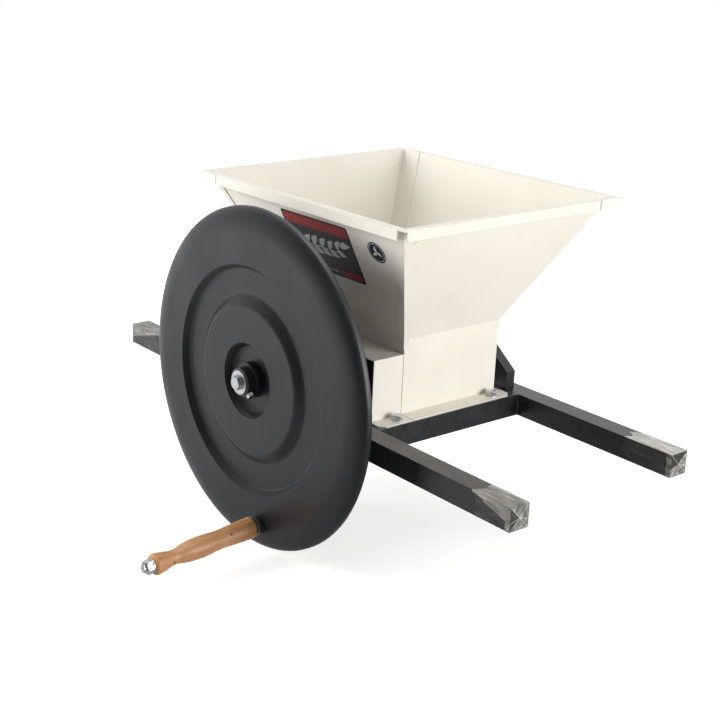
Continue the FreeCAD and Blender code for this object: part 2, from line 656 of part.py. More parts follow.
def bracket_outline(inset):
    half = BRACKET_HALF - inset
    top = BRACKET_TOP_Z - inset
    low = TUBE + inset
    slope = math.atan2(BRACKET_TOP_Z - BRACKET_SHOULDER_Z, BRACKET_HALF - BRACKET_TOP_HALF)
    shoulder = BRACKET_SHOULDER_Z - inset * (1 - math.sin(slope)) / math.cos(slope)
    top_half = BRACKET_TOP_HALF - inset * (1 - math.cos(slope)) / math.sin(slope)
    right = [(half, low), (half, shoulder), (top_half, top)]
    return right + [(-x, z) for x, z in reversed(right)]


def far_bracket():
    y0 = BRACKET_IN
    y1 = BRACKET_IN + BRACKET_DEPTH
    pan = plate_xz(bracket_outline(0), y0, y1)
    pan = pan.cut(plate_xz(bracket_outline(BRACKET_SHEET), y0 + BRACKET_SHEET, y1 + OVER))
    pan = pan.cut(rod(0, SHAFT_Z, BEARING_SPIGOT_R + SPIGOT_FIT, y0 - OVER, y1 + OVER))
    for x in BRACKET_BOLT_X:
        pan = pan.cut(post(x, BRACKET_BOLT_Y, M8_HOLE, TUBE - OVER, TUBE + BRACKET_SHEET + OVER))
    for x, z in bearing_bolt_places():
        pan = pan.cut(rod(x, z, M8_HOLE, y0 - OVER, y1 + OVER))
    return pan


def bearing_bolt_places():
    reach = BEARING_SIZE / 2 - BEARING_BOLT_IN
    return [(sx * reach, SHAFT_Z + sz * reach) for sx in (-1, 1) for sz in (-1, 1)]


def bracket_bolts():
    bolts = []
    length = BRACKET_SHEET + RIVET_LONG + M8_SPARE
    for side in (-1, 1):
        for x in BRACKET_BOLT_X:
            top = V(x, side * BRACKET_BOLT_Y, TUBE + BRACKET_SHEET)
            bolts.append(bolt(top, Z_AXIS, M8_R, length, M8_FLATS, M8_HEAD))
    return bolts


def bracket_nuts():
    return [rivet_nut(x, side * BRACKET_BOLT_Y) for side in (-1, 1) for x in BRACKET_BOLT_X]


def far_bearing():
    # square flange block: plate on the web, hub outwards, spigot through the web
    y0 = BRACKET_IN + BRACKET_SHEET
    half = BEARING_SIZE / 2
    plate = block(-half, half, y0, y0 + BEARING_PLATE, SHAFT_Z - half, SHAFT_Z + half)
    edges = [e for e in plate.Edges if abs(e.tangentAt(e.FirstParameter).y) > 0.9]
    plate = plate.makeFillet(BEARING_CORNER, edges)
    hub = rod(0, SHAFT_Z, BEARING_HUB_R, y0, BEARING_OUT)
    spigot = rod(0, SHAFT_Z, BEARING_SPIGOT_R, BRACKET_IN, y0)
    body = join([plate, hub, spigot])
    body = body.cut(rod(0, SHAFT_Z, BUSH_R, BRACKET_IN - OVER, BEARING_OUT + OVER))
    for x, z in bearing_bolt_places():
        body = body.cut(rod(x, z, M8_HOLE, y0 - OVER, BEARING_OUT + OVER))
    return body


def far_bush():
    bush = rod(0, SHAFT_Z, BUSH_R, BRACKET_IN, BEARING_OUT)
    return bush.cut(rod(0, SHAFT_Z, SHAFT_R + RUNNING, BRACKET_IN - OVER, BEARING_OUT + OVER))


def bearing_bolts():
    bolts = []
    for side in (-1, 1):
        y = side * (BRACKET_IN + BRACKET_SHEET + BEARING_PLATE)
        reach = BRACKET_SHEET + BEARING_PLATE + M8_NUT + BEARING_BOLT_SPARE
        for x, z in bearing_bolt_places():
            bolts.append(bolt(V(x, y, z), V(0, side, 0), M8_R, reach, M8_FLATS, M8_HEAD))
    return bolts


def bearing_nuts():
    return [nut(V(x, side * BRACKET_IN, z), V(0, -side, 0), M8_R, M8_FLATS, M8_NUT)
            for side in (-1, 1) for x, z in bearing_bolt_places()]


# Counter plates

def counter_outer():
    t = PLATE_SHEET
    return [(CHAMBER_IN, PLATE_TOP_Z - PLATE_UPRIGHT), (PLATE_TIP_X + t, SHAFT_Z + PLATE_NOSE),
            (PLATE_TIP_X + t, PLATE_LOW_Z + PLATE_HEEL), (CHAMBER_IN, PLATE_LOW_Z)]


def counter_profile():
    # one bent sheet: down the wall, out to the nose, down, and back to the wall
    t = PLATE_SHEET
    bend = t / 3
    inner = [(CHAMBER_IN, PLATE_LOW_Z - t), (PLATE_TIP_X + t / 2, PLATE_LOW_Z + PLATE_HEEL - t),
             (PLATE_TIP_X, PLATE_LOW_Z + PLATE_HEEL + bend),
             (PLATE_TIP_X, SHAFT_Z + PLATE_NOSE - bend),
             (CHAMBER_IN - t, PLATE_TOP_Z - PLATE_UPRIGHT + bend), (CHAMBER_IN - t, PLATE_TOP_Z)]
    return [(CHAMBER_IN, PLATE_TOP_Z)] + counter_outer() + inner


def counter_plate():
    y0 = PLATE_NEAR
    y1 = PLATE_FAR
    skin = plate_xz(counter_profile(), y0, y1)
    near_cheek = plate_xz(counter_outer(), y0, y0 + PLATE_SHEET)
    far_cheek = plate_xz(counter_outer(), y1 - PLATE_SHEET, y1)
    shape = join([skin, near_cheek, far_cheek])
    return shape.cut(rod(ROD_X, ROD_Z, ROD_R + SPIGOT_FIT, y0 - OVER, y1 + OVER))


def tooth_places():
    length = DRUM_FAR - DRUM_NEAR
    count = int(length // TOOTH_PITCH)
    start = DRUM_NEAR + (length - count * TOOTH_PITCH) / 2
    return [start + (i + 0.5) * TOOTH_PITCH for i in range(count)]


def comb_screw_hole(y):
    start = V(PLATE_TIP_X - COMB_THICK - OVER, y, COMB_SCREW_Z)
    return Part.makeCylinder(COMB_HOLE_R, COMB_THICK + PLATE_SHEET + 2 * OVER, start, X_AXIS)


def comb_bar():
    z1 = COMB_Z + COMB_THICK
    places = tooth_places()
    gaps = [(a + b) / 2 for a, b in zip(places, places[1:])]
    foot = block(PLATE_TIP_X - COMB_THICK, PLATE_TIP_X, DRUM_NEAR, DRUM_FAR,
                 COMB_Z - COMB_FOOT, z1)
    tip = (TOOTH_PITCH - TOOTH_ROOT) / 2 - COMB_TIP_CLEAR
    base = (TOOTH_PITCH - TOOTH_CREST) / 2 - COMB_BASE_CLEAR
    fingers = []
    for y in gaps:
        finger = plate_xy([(PLATE_TIP_X - COMB_THICK, y - base), (PLATE_TIP_X - COMB_THICK, y + base),
                           (COMB_REACH, y + tip), (COMB_REACH, y - tip)], COMB_Z, z1)
        fingers.append(finger)
    bar = join([foot] + fingers)
    for y in COMB_SCREW_Y:
        bar = bar.cut(comb_screw_hole(y))
    return bar


def front_counter_plate():
    shape = counter_plate()
    for y in COMB_SCREW_Y:
        shape = shape.cut(comb_screw_hole(y))
    return shape


def rear_counter_plate():
    return mirror_x(counter_plate())


def comb_screws():
    screws = []
    length = COMB_THICK + PLATE_SHEET + COMB_NUT + COMB_SCREW_SPARE
    for y in COMB_SCREW_Y:
        shank = Part.makeCylinder(COMB_SCREW_R, length, V(0, 0, -length))
        head = Part.makeCylinder(COMB_HEAD_R, COMB_HEAD)
        screws.append(along(join([shank, head]), V(PLATE_TIP_X - COMB_THICK, y, COMB_SCREW_Z), V(-1, 0, 0)))
    return screws


def comb_nuts():
    return [nut(V(PLATE_TIP_X + PLATE_SHEET, y, COMB_SCREW_Z), X_AXIS, COMB_SCREW_R,
                COMB_NUT_FLATS, COMB_NUT)
            for y in COMB_SCREW_Y]


def counter_rods():
    return [rod(x, ROD_Z, ROD_R, NEAR_PLATE_Y - ROD_ENDS[0], THROAT_FAR + ROD_ENDS[1])
            for x in (-ROD_X, ROD_X)]


def rod_nuts():
    nuts = []
    for x in (-ROD_X, ROD_X):
        nuts.append(nut(V(x, NEAR_PLATE_Y, ROD_Z), V(0, -1, 0), ROD_R, M8_FLATS, M8_NUT))
        nuts.append(nut(V(x, THROAT_FAR + M8_WASHER, ROD_Z), Y_AXIS, ROD_R, M8_FLATS, M8_NUT))
    return nuts


def rod_washers():
    return [washer(V(x, THROAT_FAR, ROD_Z), Y_AXIS, ROD_R, ROD_WASHER_R, M8_WASHER)
            for x in (-ROD_X, ROD_X)]


# Shaft and drum

def shaft():
    body = rod(0, SHAFT_Z, SHAFT_R, SHAFT_NEAR, SHAFT_FAR)
    body = body.cut(rod(0, SHAFT_Z, M10_R, SHAFT_NEAR, SHAFT_NEAR + END_HOLE_LONG))
    for ends in (KEY_Y, WHEEL_KEY_Y):
        body = body.cut(block(-KEY / 2, KEY / 2, ends[0], ends[1], KEY_LOW, KEY_TOP))
    return body


def drum_key():
    return block(-KEY / 2, KEY / 2, KEY_Y[0], KEY_Y[1], KEY_LOW, KEY_TOP)


def wheel_key():
    return block(-KEY / 2, KEY / 2, WHEEL_KEY_Y[0], WHEEL_KEY_Y[1], SHAFT_Z + SHAFT_R - 3.5, KEY_TOP)


def ramp(r0, r1, y0, y1):
    # smooth step of a turned profile between two radii
    steps = 6
    points = []
    for i in range(steps + 1):
        u = i / steps
        points.append(V(r0 + (r1 - r0) * u, y0 + (y1 - y0) * (1 - math.cos(math.pi * u)) / 2, 0))
    curve = Part.BSplineCurve()
    curve.interpolate(Points=points, InitialTangent=V(1, 0, 0), FinalTangent=V(1, 0, 0))
    return curve.toShape()


def around(shape, step, count):
    copies = []
    for i in range(count):
        piece = shape.copy()
        piece.rotate(V(0, 0, SHAFT_Z), Y_AXIS, step * i)
        copies.append(piece)
    return copies


def drum_core():
    y0 = DRUM_NEAR + DRUM_DISC
    y1 = DRUM_FAR - DRUM_DISC
    core = rod(0, SHAFT_Z, DRUM_R, y0, y1)
    core = core.cut(rod(0, SHAFT_Z, SHAFT_R, y0 - OVER, y1 + OVER))
    slot = block(-BLADE_THICK / 2, BLADE_THICK / 2, y0 - OVER, y1 + OVER, SHAFT_Z + BLADE_ROOT,
                 SHAFT_Z + BLADE_TIP)
    for cut in around(slot, 360.0 / BLADES, BLADES):
        core = core.cut(cut)
    core = core.cut(block(-KEY / 2, KEY / 2, y0 - OVER, y1 + OVER, SHAFT_Z, KEY_TOP))
    hole = rod(0, SHAFT_Z + DISC_SCREW_AT, DISC_SCREW_R, y0 - OVER, y0 + HOLE_LONG)
    far_hole = rod(0, SHAFT_Z + DISC_SCREW_AT, DISC_SCREW_R, y1 - HOLE_LONG, y1 + OVER)
    for cut in around(hole, 90, 4) + around(far_hole, 90, 4):
        core = core.cut(cut)
    return core


def drum_disc(y0):
    disc = rod(0, SHAFT_Z, DRUM_R, y0, y0 + DRUM_DISC)
    disc = disc.cut(rod(0, SHAFT_Z, SHAFT_R, y0 - OVER, y0 + DRUM_DISC + OVER))
    hole = rod(0, SHAFT_Z + DISC_SCREW_AT, DISC_SCREW_R, y0 - OVER, y0 + DRUM_DISC + OVER)
    for cut in around(hole, 90, 4):
        disc = disc.cut(cut)
    return disc


def disc_screws():
    z = SHAFT_Z + DISC_SCREW_AT
    near = join([rod(0, z, DISC_SCREW_R, DRUM_NEAR, DRUM_NEAR + DISC_SCREW_LONG),
                 rod(0, z, DISC_HEAD_R, DRUM_NEAR - DISC_HEAD, DRUM_NEAR)])
    far = join([rod(0, z, DISC_SCREW_R, DRUM_FAR - DISC_SCREW_LONG, DRUM_FAR),
                rod(0, z, DISC_HEAD_R, DRUM_FAR, DRUM_FAR + DISC_HEAD)])
    return around(near, 90, 4) + around(far, 90, 4)


def drum_blades():
    # toothed strips standing out of slots in the drum
    y0 = DRUM_NEAR + DRUM_DISC
    y1 = DRUM_FAR - DRUM_DISC
    low = SHAFT_Z + DRUM_R + BLADE_EDGE
    high = SHAFT_Z + BLADE_TIP
    points = [(y0, SHAFT_Z + BLADE_ROOT), (y0, low)]
    for y in tooth_places():
        points.append((max(y - TOOTH_ROOT / 2, y0), low))
        points.append((y - TOOTH_CREST / 2, high))
        points.append((y + TOOTH_CREST / 2, high))
        points.append((min(y + TOOTH_ROOT / 2, y1), low))
    points.append((y1, low))
    points.append((y1, SHAFT_Z + BLADE_ROOT))
    clean = [points[0]]
    for p in points[1:]:
        if abs(p[0] - clean[-1][0]) + abs(p[1] - clean[-1][1]) > 1e-6:
            clean.append(p)
    blade = plate_yz(clean, -BLADE_THICK / 2, BLADE_THICK / 2)
    return around(blade, 360.0 / BLADES, BLADES)


def collar(y0):
    ring = rod(0, SHAFT_Z, COLLAR_R, y0, y0 + COLLAR_WIDE)
    ring = ring.cut(rod(0, SHAFT_Z, SHAFT_R, y0 - OVER, y0 + COLLAR_WIDE + OVER))
    return ring


def shaft_collars():
    return [collar(-BEARING_OUT - CLEAR - COLLAR_WIDE), collar(BEARING_OUT + CLEAR)]


# Flywheel

def flywheel():
    f = WHEEL_FACE
    b = WHEEL_BACK
    deep = f + GROOVE_DEEP
    floor = f + RECESS_DEEP
    round_from = WHEEL_R - EDGE_REACH

    def line(p, q):
        return Part.makeLine(V(p[0], p[1], 0), V(q[0], q[1], 0))

    edges = [line((HUB_R, f), (COLLAR_OUT_R, f)),
             line((COLLAR_OUT_R, f), (COLLAR_OUT_R, floor)),
             line((COLLAR_OUT_R, floor), (RECESS[0], floor)),
             ramp(RECESS[0], RECESS[1], floor, f),
             line((RECESS[1], f), (GROOVE_IN[0], f)),
             ramp(GROOVE_IN[0], GROOVE_IN[1], f, deep),
             line((GROOVE_IN[1], deep), (GROOVE_OUT[0], deep)),
             ramp(GROOVE_OUT[0], GROOVE_OUT[1], deep, f),
             line((GROOVE_OUT[1], f), (round_from, f))]
    front = Part.Ellipse(V(round_from, f + EDGE_DROP, 0), EDGE_REACH, EDGE_DROP)
    edges.append(Part.ArcOfEllipse(front, math.pi * 1.5, math.pi * 2).toShape())
    edges.append(line((WHEEL_R, f + EDGE_DROP), (WHEEL_R, b - BACK_EDGE)))
    rear = Part.Circle(V(WHEEL_R - BACK_EDGE, b - BACK_EDGE, 0), Z_AXIS, BACK_EDGE)
    edges.append(Part.ArcOfCircle(rear, 0, math.pi / 2).toShape())
    back = [(WHEEL_R - BACK_EDGE, b), (BACK_OUT_R, b), (BACK_OUT_R - BACK_DRAFT, b - BACK_DEEP),
            (BACK_IN_R + BACK_DRAFT, b - BACK_DEEP), (BACK_IN_R, b), (BACK_BOSS_R, b),
            (BACK_BOSS_R, HUB_BACK),
            (HUB_R, HUB_BACK), (HUB_R, f)]
    edges += [line(p, q) for p, q in zip(back, back[1:])]
    face = Part.Face(Part.Wire(Part.__sortEdges__(edges)))
    wheel = face.revolve(V(0, 0, 0), Y_AXIS, 360)
    wheel.translate(V(0, 0, SHAFT_Z))
    boss = crank_place(crank_rod(BOSS_R, -WHEEL_THICK - BOSS_BACK, BOSS_HIGH))
    wheel = join([wheel, boss])
    return wheel.cut(crank_place(crank_rod(M10_R, BACK_NUT_AT, GRIP_START)))


def hub_sleeve():
    sleeve = rod(0, SHAFT_Z, HUB_R, HUB_END, HUB_BACK)
    sleeve = sleeve.cut(rod(0, SHAFT_Z, SHAFT_R, HUB_END - OVER, HUB_BACK + OVER))
    sleeve = sleeve.cut(block(-KEY / 2, KEY / 2, WHEEL_KEY_Y[0], HUB_BACK + OVER, SHAFT_Z,
                              KEY_TOP))
    screw_hole = Part.makeCylinder(HUB_SCREW_R, HUB_R + OVER, V(0, HUB_SCREW_Y, SHAFT_Z), HUB_SCREW_DIR)
    return sleeve.cut(screw_hole)


def hub_set_screw():
    foot = V(0, HUB_SCREW_Y, SHAFT_Z) + HUB_SCREW_DIR * (SHAFT_R + HUB_SCREW_SHORT)
    shank = Part.makeCylinder(HUB_SCREW_R, HUB_R - SHAFT_R + OVER, foot, HUB_SCREW_DIR)
    head_at = V(0, HUB_SCREW_Y, SHAFT_Z) + HUB_SCREW_DIR * (HUB_R + OVER)
    head = along(hex_block(HUB_SCREW_FLATS, HUB_SCREW_HEAD), head_at, HUB_SCREW_DIR)
    return join([shank, head])


def end_washer():
    return washer(V(0, HUB_END, SHAFT_Z), V(0, -1, 0), M10_R, END_WASHER_R, END_WASHER)


def end_bolt():
    at = V(0, HUB_END - END_WASHER, SHAFT_Z)
    return bolt(at, V(0, -1, 0), M10_R, END_BOLT_LONG, M10_FLATS, M10_HEAD)


# Crank handle. Pieces are made with the wheel's face at 0, the stud running to -Y, then placed.

def crank_rod(radius, s0, s1):
    return rod(0, 0, radius, -s0, -s1)


def crank_place(shape):
    placed = shape.copy()
    placed.translate(V(CRANK_X, WHEEL_FACE, CRANK_Z))
    side = V(-math.sin(CRANK_ANGLE), 0, math.cos(CRANK_ANGLE))
    placed.rotate(V(CRANK_X, WHEEL_FACE, CRANK_Z), side, CRANK_LEAN)
    return placed


def crank_bolt():
    # stud through the wheel, held by a nut on each side, carrying the grip
    return crank_place(crank_rod(M10_R, BACK_NUT_AT - M10_NUT - STUD_SPARE, STUD_END))


def crank_nuts():
    body = nut(V(0, -BOSS_HIGH, 0), V(0, -1, 0), M10_R, M10_FLATS, FLANGE_NUT - BOSS_HIGH)
    skirt = crank_rod(FLANGE_NUT_R, FLANGE_NUT, GRIP_START - CLEAR)
    skirt = skirt.cut(crank_rod(M10_R, FLANGE_NUT - OVER, GRIP_START))
    back = nut(V(0, -BACK_NUT_AT, 0), Y_AXIS, M10_R, M10_FLATS, M10_NUT)
    return [crank_place(join([body, skirt])), crank_place(back)]


def crank_washers():
    at = -BACK_NUT_AT - CRANK_WASHER
    back = washer(V(0, at, 0), Y_AXIS, M10_R, CRANK_WASHER_R, CRANK_WASHER)
    front = washer(V(0, -GRIP_WASHER_AT, 0), V(0, -1, 0), M10_R, GRIP_WASHER_R, GRIP_WASHER)
    return [crank_place(back), crank_place(front)]


def grip_radius(s):
    # flared at the wheel end, a shallow waist, a belly, a neck, then a knob
    radius = GRIP_R
    for at, half, added in GRIP_SWELLS:
        radius += added * math.exp(-((s - at) / half) ** 2)
    return radius


def grip():
    y0 = -GRIP_START
    y1 = y0 - GRIP_LENGTH
    steps = 26
    edge = GRIP_EDGE
    points = []
    for i in range(steps + 1):
        s = edge + (GRIP_LENGTH - 2 * edge) * i / steps
        points.append(V(grip_radius(s), y0 - s, 0))
    curve = Part.BSplineCurve()
    curve.interpolate(points)
    bore = M10_R + GRIP_FIT
    first = points[0]
    last = points[-1]
    corner = edge * (1 - math.sqrt(0.5))
    wheel_end = V(first.x - edge, y0, 0)
    wheel_mid = V(first.x - corner, y0 - corner, 0)
    free_end = V(last.x - edge, y1, 0)
    free_mid = V(last.x - corner, y1 + corner, 0)
    edges = [Part.makeLine(V(bore, y0, 0), wheel_end),
             Part.Arc(wheel_end, wheel_mid, first).toShape(),
             curve.toShape(),
             Part.Arc(last, free_mid, free_end).toShape(),
             Part.makeLine(free_end, V(bore, y1, 0)),
             Part.makeLine(V(bore, y1, 0), V(bore, y0, 0))]
    solid = Part.Face(Part.Wire(edges)).revolve(V(0, 0, 0), Y_AXIS, 360)
    return crank_place(solid)


def grip_end_nut():
    return crank_place(nut(V(0, -GRIP_NUT_AT, 0), V(0, -1, 0), M10_R, M10_FLATS, GRIP_NUT))


NODES = {
    "near_rail": near_rail,
    "far_rail": lambda: mirror_y(near_rail()),
    "front_crossbar": crossbar,
    "rear_crossbar": lambda: mirror_x(crossbar()),
    "rail_end_plugs": rail_plugs,
    "front_wall": front_wall,
    "rear_wall": rear_wall,
    "near_wall": near_wall,
    "far_wall": far_wall,
    "side_box": side_box,
    "near_end_plate": near_end_plate,
    "far_end_plate": far_end_plate,
    "side_box_plate": side_box_plate,
    "housing_bolts": housing_bolts,
    "housing_washers": housing_washers,
    "housing_nuts": housing_nuts,
    "near_bracket": lambda: mirror_y(far_bracket()),
    "far_bracket": far_bracket,
    "bracket_bolts": bracket_bolts,
    "bracket_nuts": bracket_nuts,
    "near_bearing": lambda: mirror_y(far_bearing()),
    "far_bearing": far_bearing,
    "near_bush": lambda: mirror_y(far_bush()),
    "far_bush": far_bush,
    "bearing_bolts": bearing_bolts,
    "bearing_nuts": bearing_nuts,
    "front_counter_plate": front_counter_plate,
    "rear_counter_plate": rear_counter_plate,
    "comb_bar": comb_bar,
    "comb_screws": comb_screws,
    "comb_nuts": comb_nuts,
    "counter_rods": counter_rods,
    "rod_nuts": rod_nuts,
    "rod_washers": rod_washers,
    "shaft": shaft,
    "drum_key": drum_key,
    "drum_core": drum_core,
    "near_drum_disc": lambda: drum_disc(DRUM_NEAR),
    "far_drum_disc": lambda: drum_disc(DRUM_FAR - DRUM_DISC),
    "disc_screws": disc_screws,
    "drum_blades": drum_blades,
    "shaft_collars": shaft_collars,
    "flywheel": flywheel,
    "wheel_key": wheel_key,
    "hub_sleeve": hub_sleeve,
    "hub_set_screw": hub_set_screw,
    "end_washer": end_washer,
    "end_bolt": end_bolt,
    "crank_bolt": crank_bolt,
    "crank_nuts": crank_nuts,
    "crank_washers": crank_washers,
    "grip": grip,
    "grip_end_nut": grip_end_nut,
}

os.makedirs("parts", exist_ok=True)
for name, make in NODES.items():
    shape = make()
    if isinstance(shape, list):
        shape = Part.makeCompound(shape)
    shape.exportStep("parts/" + name + ".step")
    print(name, len(shape.Solids), round(shape.Volume), shape.isValid())
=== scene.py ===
# %% [markdown]
# A hand mill for apples: a white sheet-steel hopper on two black tubes, a big moulded
# flywheel and a turned wooden handle. Its construction arrives as a fixed frame of exact
# parts. This lesson gives those parts their finishes, and adds what a drawing leaves out:
# weld beads, threads, the label, and the clear film that still wraps the ends of the rails.

# %% Load the frame
import bmesh
import bpy
import json
import math
from mathutils import Matrix, Vector


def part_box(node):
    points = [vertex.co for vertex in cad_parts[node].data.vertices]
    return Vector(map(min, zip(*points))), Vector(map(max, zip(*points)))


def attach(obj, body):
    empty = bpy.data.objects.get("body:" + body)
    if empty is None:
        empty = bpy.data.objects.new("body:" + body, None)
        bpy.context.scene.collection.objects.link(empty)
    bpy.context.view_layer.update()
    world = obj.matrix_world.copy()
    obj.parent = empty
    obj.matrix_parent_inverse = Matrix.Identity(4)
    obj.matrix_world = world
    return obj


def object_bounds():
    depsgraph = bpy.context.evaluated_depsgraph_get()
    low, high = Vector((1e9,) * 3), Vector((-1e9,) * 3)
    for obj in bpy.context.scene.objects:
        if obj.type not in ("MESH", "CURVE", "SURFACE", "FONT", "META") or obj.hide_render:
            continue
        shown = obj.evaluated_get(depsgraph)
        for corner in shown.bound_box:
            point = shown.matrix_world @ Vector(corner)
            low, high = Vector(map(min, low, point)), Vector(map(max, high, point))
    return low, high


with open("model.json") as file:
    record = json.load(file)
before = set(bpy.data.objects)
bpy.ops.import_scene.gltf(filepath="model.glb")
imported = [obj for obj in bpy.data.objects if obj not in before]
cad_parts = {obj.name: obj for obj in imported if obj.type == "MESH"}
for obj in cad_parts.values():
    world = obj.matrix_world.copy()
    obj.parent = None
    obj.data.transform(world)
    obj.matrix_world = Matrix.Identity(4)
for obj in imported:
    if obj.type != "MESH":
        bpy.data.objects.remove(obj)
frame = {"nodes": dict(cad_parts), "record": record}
cad_low, cad_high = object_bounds()
print("box", [round(v, 3) for v in cad_low], [round(v, 3) for v in cad_high])

# %% [markdown]
# The picture was taken with a long lens from the front right, a little above. The numbers
# come from matching known corners of the mill to the picture. The lens is shifted a little,
# because the picture is a crop of a larger one.

# %% Camera
LENS = 69.387
VIEW_FROM = Vector((1.38311, -1.24004, 0.68315))

camera = bpy.data.objects.new("camera", bpy.data.cameras.new("camera"))
bpy.context.scene.collection.objects.link(camera)
view_right = Vector((0.5852016, 0.810544, 0.0236142))
view_up = Vector((-0.2298245, 0.1378621, 0.9634183))
view_back = Vector((0.7776373, -0.569221, 0.26696))
turn = Matrix((view_right, view_up, view_back)).transposed()
camera.matrix_world = Matrix.Translation(VIEW_FROM) @ turn.to_4x4()
camera.data.lens = LENS
camera.data.shift_x = 0.15278
camera.data.shift_y = -0.11111
bpy.context.scene.camera = camera
print("lens", LENS, "mm, from", round(VIEW_FROM.length, 2), "m away")

# %% [markdown]
# Colours are written as the eye reads them, in hex, and turned into the linear values that
# light is added up in. Each finish is a principled shader with its plain numbers set on it,
# plus pattern nodes in object coordinates, which are metres here: a noise of scale 330 has
# 330 waves to the metre, 3 mm each. Where a pattern drives the roughness, the plain number
# given for it is about the middle of the pattern's range. One function adds a node.

# %% Helpers for finishes
def colour(code):
    parts = [int(code[i:i + 2], 16) / 255 for i in (0, 2, 4)]
    linear = [c / 12.92 if c <= 0.04045 else ((c + 0.055) / 1.055) ** 2.4 for c in parts]
    return (*linear, 1.0)


def add(tree, kind, sets=None, links=None, **settings):
    # a link comes from a socket, or from a node, and then from its first output
    node = tree.nodes.new(kind)
    for key, value in settings.items():
        setattr(node, key, value)
    for key, value in (sets or {}).items():
        node.inputs[key].default_value = value
    for key, source in (links or {}).items():
        socket = source.outputs[0] if isinstance(source, bpy.types.Node) else source
        tree.links.new(socket, node.inputs[key])
    return node


def finish(name, **numbers):
    # a new material: its node tree, its shader with the plain numbers set, its coordinates
    material = bpy.data.materials.new(name)
    material.use_nodes = True
    tree = material.node_tree
    shader = tree.nodes["Principled BSDF"]
    for key, value in numbers.items():
        shader.inputs[key.replace("_", " ")].default_value = value
    place = add(tree, "ShaderNodeTexCoord").outputs["Object"]
    return material, tree, shader, place


FINISHES = {}

# %% [markdown]
# The hopper is folded steel sheet with a baked powder coat, a warm white. Powder melts into
# very shallow waves about 3 mm long, so its reflections are soft and slightly uneven. A slow
# change of tone and sheen, over about 10 cm, keeps the big plain walls from looking like
# paper. The coat runs round the folds, so a bevel node rounds their edges by 0.7 mm, which
# changes only how they catch the light.

# %% White powder coat
COAT_WAVES = 330

material, tree, shader, place = finish("powder_coat_warm_white", Roughness=0.32, IOR=1.5)
slow = add(tree, "ShaderNodeTexNoise", {"Scale": 9, "Detail": 3}, {"Vector": place})
slow = add(tree, "ShaderNodeMapRange", {"From Min": 0.3, "From Max": 0.7}, {"Value": slow})
tone = add(tree, "ShaderNodeMix", {6: colour("EAE5D8"), 7: colour("F1ECE0")}, {0: slow},
           data_type="RGBA")
tree.links.new(tone.outputs[2], shader.inputs["Base Color"])
sheen = add(tree, "ShaderNodeMapRange", {"To Min": 0.3, "To Max": 0.35}, {"Value": slow})
tree.links.new(sheen.outputs[0], shader.inputs["Roughness"])
waves = add(tree, "ShaderNodeTexNoise", {"Scale": COAT_WAVES, "Detail": 1}, {"Vector": place})
edges = add(tree, "ShaderNodeBevel", {"Radius": 0.0007}, samples=4)
relief = add(tree, "ShaderNodeBump", {"Strength": 0.2, "Distance": 0.00006},
             {"Height": waves, "Normal": edges})
tree.links.new(relief.outputs[0], shader.inputs["Normal"])
FINISHES["white_paint"] = material
print("white coat, waves of", round(1000 / COAT_WAVES, 1), "mm")

# %% [markdown]
# The rails are drawn steel tube with a black gloss paint. Seen at a low angle their tops
# mirror the pale room, and orange-peel waves as long as the white coat's, but deeper, break
# that mirror up. Tube has rounded corners, so the edge bevel is larger here.

# %% Black gloss paint
material, tree, shader, place = finish("gloss_paint_black", Roughness=0.3, IOR=1.5)
cloud = add(tree, "ShaderNodeTexNoise", {"Scale": 40, "Detail": 4}, {"Vector": place})
tone = add(tree, "ShaderNodeMix", {6: colour("202123"), 7: colour("2A2B2D")}, {0: cloud},
           data_type="RGBA")
tree.links.new(tone.outputs[2], shader.inputs["Base Color"])
sheen = add(tree, "ShaderNodeMapRange", {"From Min": 0.3, "From Max": 0.7, "To Min": 0.22,
                                         "To Max": 0.36}, {"Value": cloud})
tree.links.new(sheen.outputs[0], shader.inputs["Roughness"])
peel = add(tree, "ShaderNodeTexNoise", {"Scale": COAT_WAVES, "Detail": 2}, {"Vector": place})
edges = add(tree, "ShaderNodeBevel", {"Radius": 0.0012}, samples=4)
relief = add(tree, "ShaderNodeBump", {"Strength": 0.4, "Distance": 0.00012},
             {"Height": peel, "Normal": edges})
tree.links.new(relief.outputs[0], shader.inputs["Normal"])
FINISHES["black_paint"] = material

# %% [markdown]
# The wheel is one moulding in black polypropylene. Its mould was spark-eroded, which leaves
# a fine grain, drawn here at 1.2 mm so that it shows, and the melt leaves faint flow
# streaks. They change how rough the skin is, so the broad face is a cloudy dark sheen.

# %% Moulded plastic of the wheel
WHEEL_GRAIN = 820

material, tree, shader, place = finish("polypropylene_moulded_black", Roughness=0.4, IOR=1.49)
upright = add(tree, "ShaderNodeMapping", {"Scale": (1.0, 1.0, 0.2)}, {"Vector": place})
streaks = add(tree, "ShaderNodeTexNoise", {"Scale": 30, "Detail": 4, "Roughness": 0.6},
              {"Vector": upright})
cloud = add(tree, "ShaderNodeTexNoise", {"Scale": 12, "Detail": 3}, {"Vector": place})
flow = add(tree, "ShaderNodeMath", links={0: streaks, 1: cloud}, operation="ADD")
flow = add(tree, "ShaderNodeMapRange", {"From Min": 0.7, "From Max": 1.3}, {"Value": flow})
tone = add(tree, "ShaderNodeMix", {6: colour("131518"), 7: colour("1B1D20")}, {0: flow},
           data_type="RGBA")
tree.links.new(tone.outputs[2], shader.inputs["Base Color"])
sheen = add(tree, "ShaderNodeMapRange", {"To Min": 0.34, "To Max": 0.46}, {"Value": flow})
tree.links.new(sheen.outputs[0], shader.inputs["Roughness"])
skin = add(tree, "ShaderNodeTexNoise", {"Scale": WHEEL_GRAIN, "Detail": 2}, {"Vector": place})
edges = add(tree, "ShaderNodeBevel", {"Radius": 0.001}, samples=4)
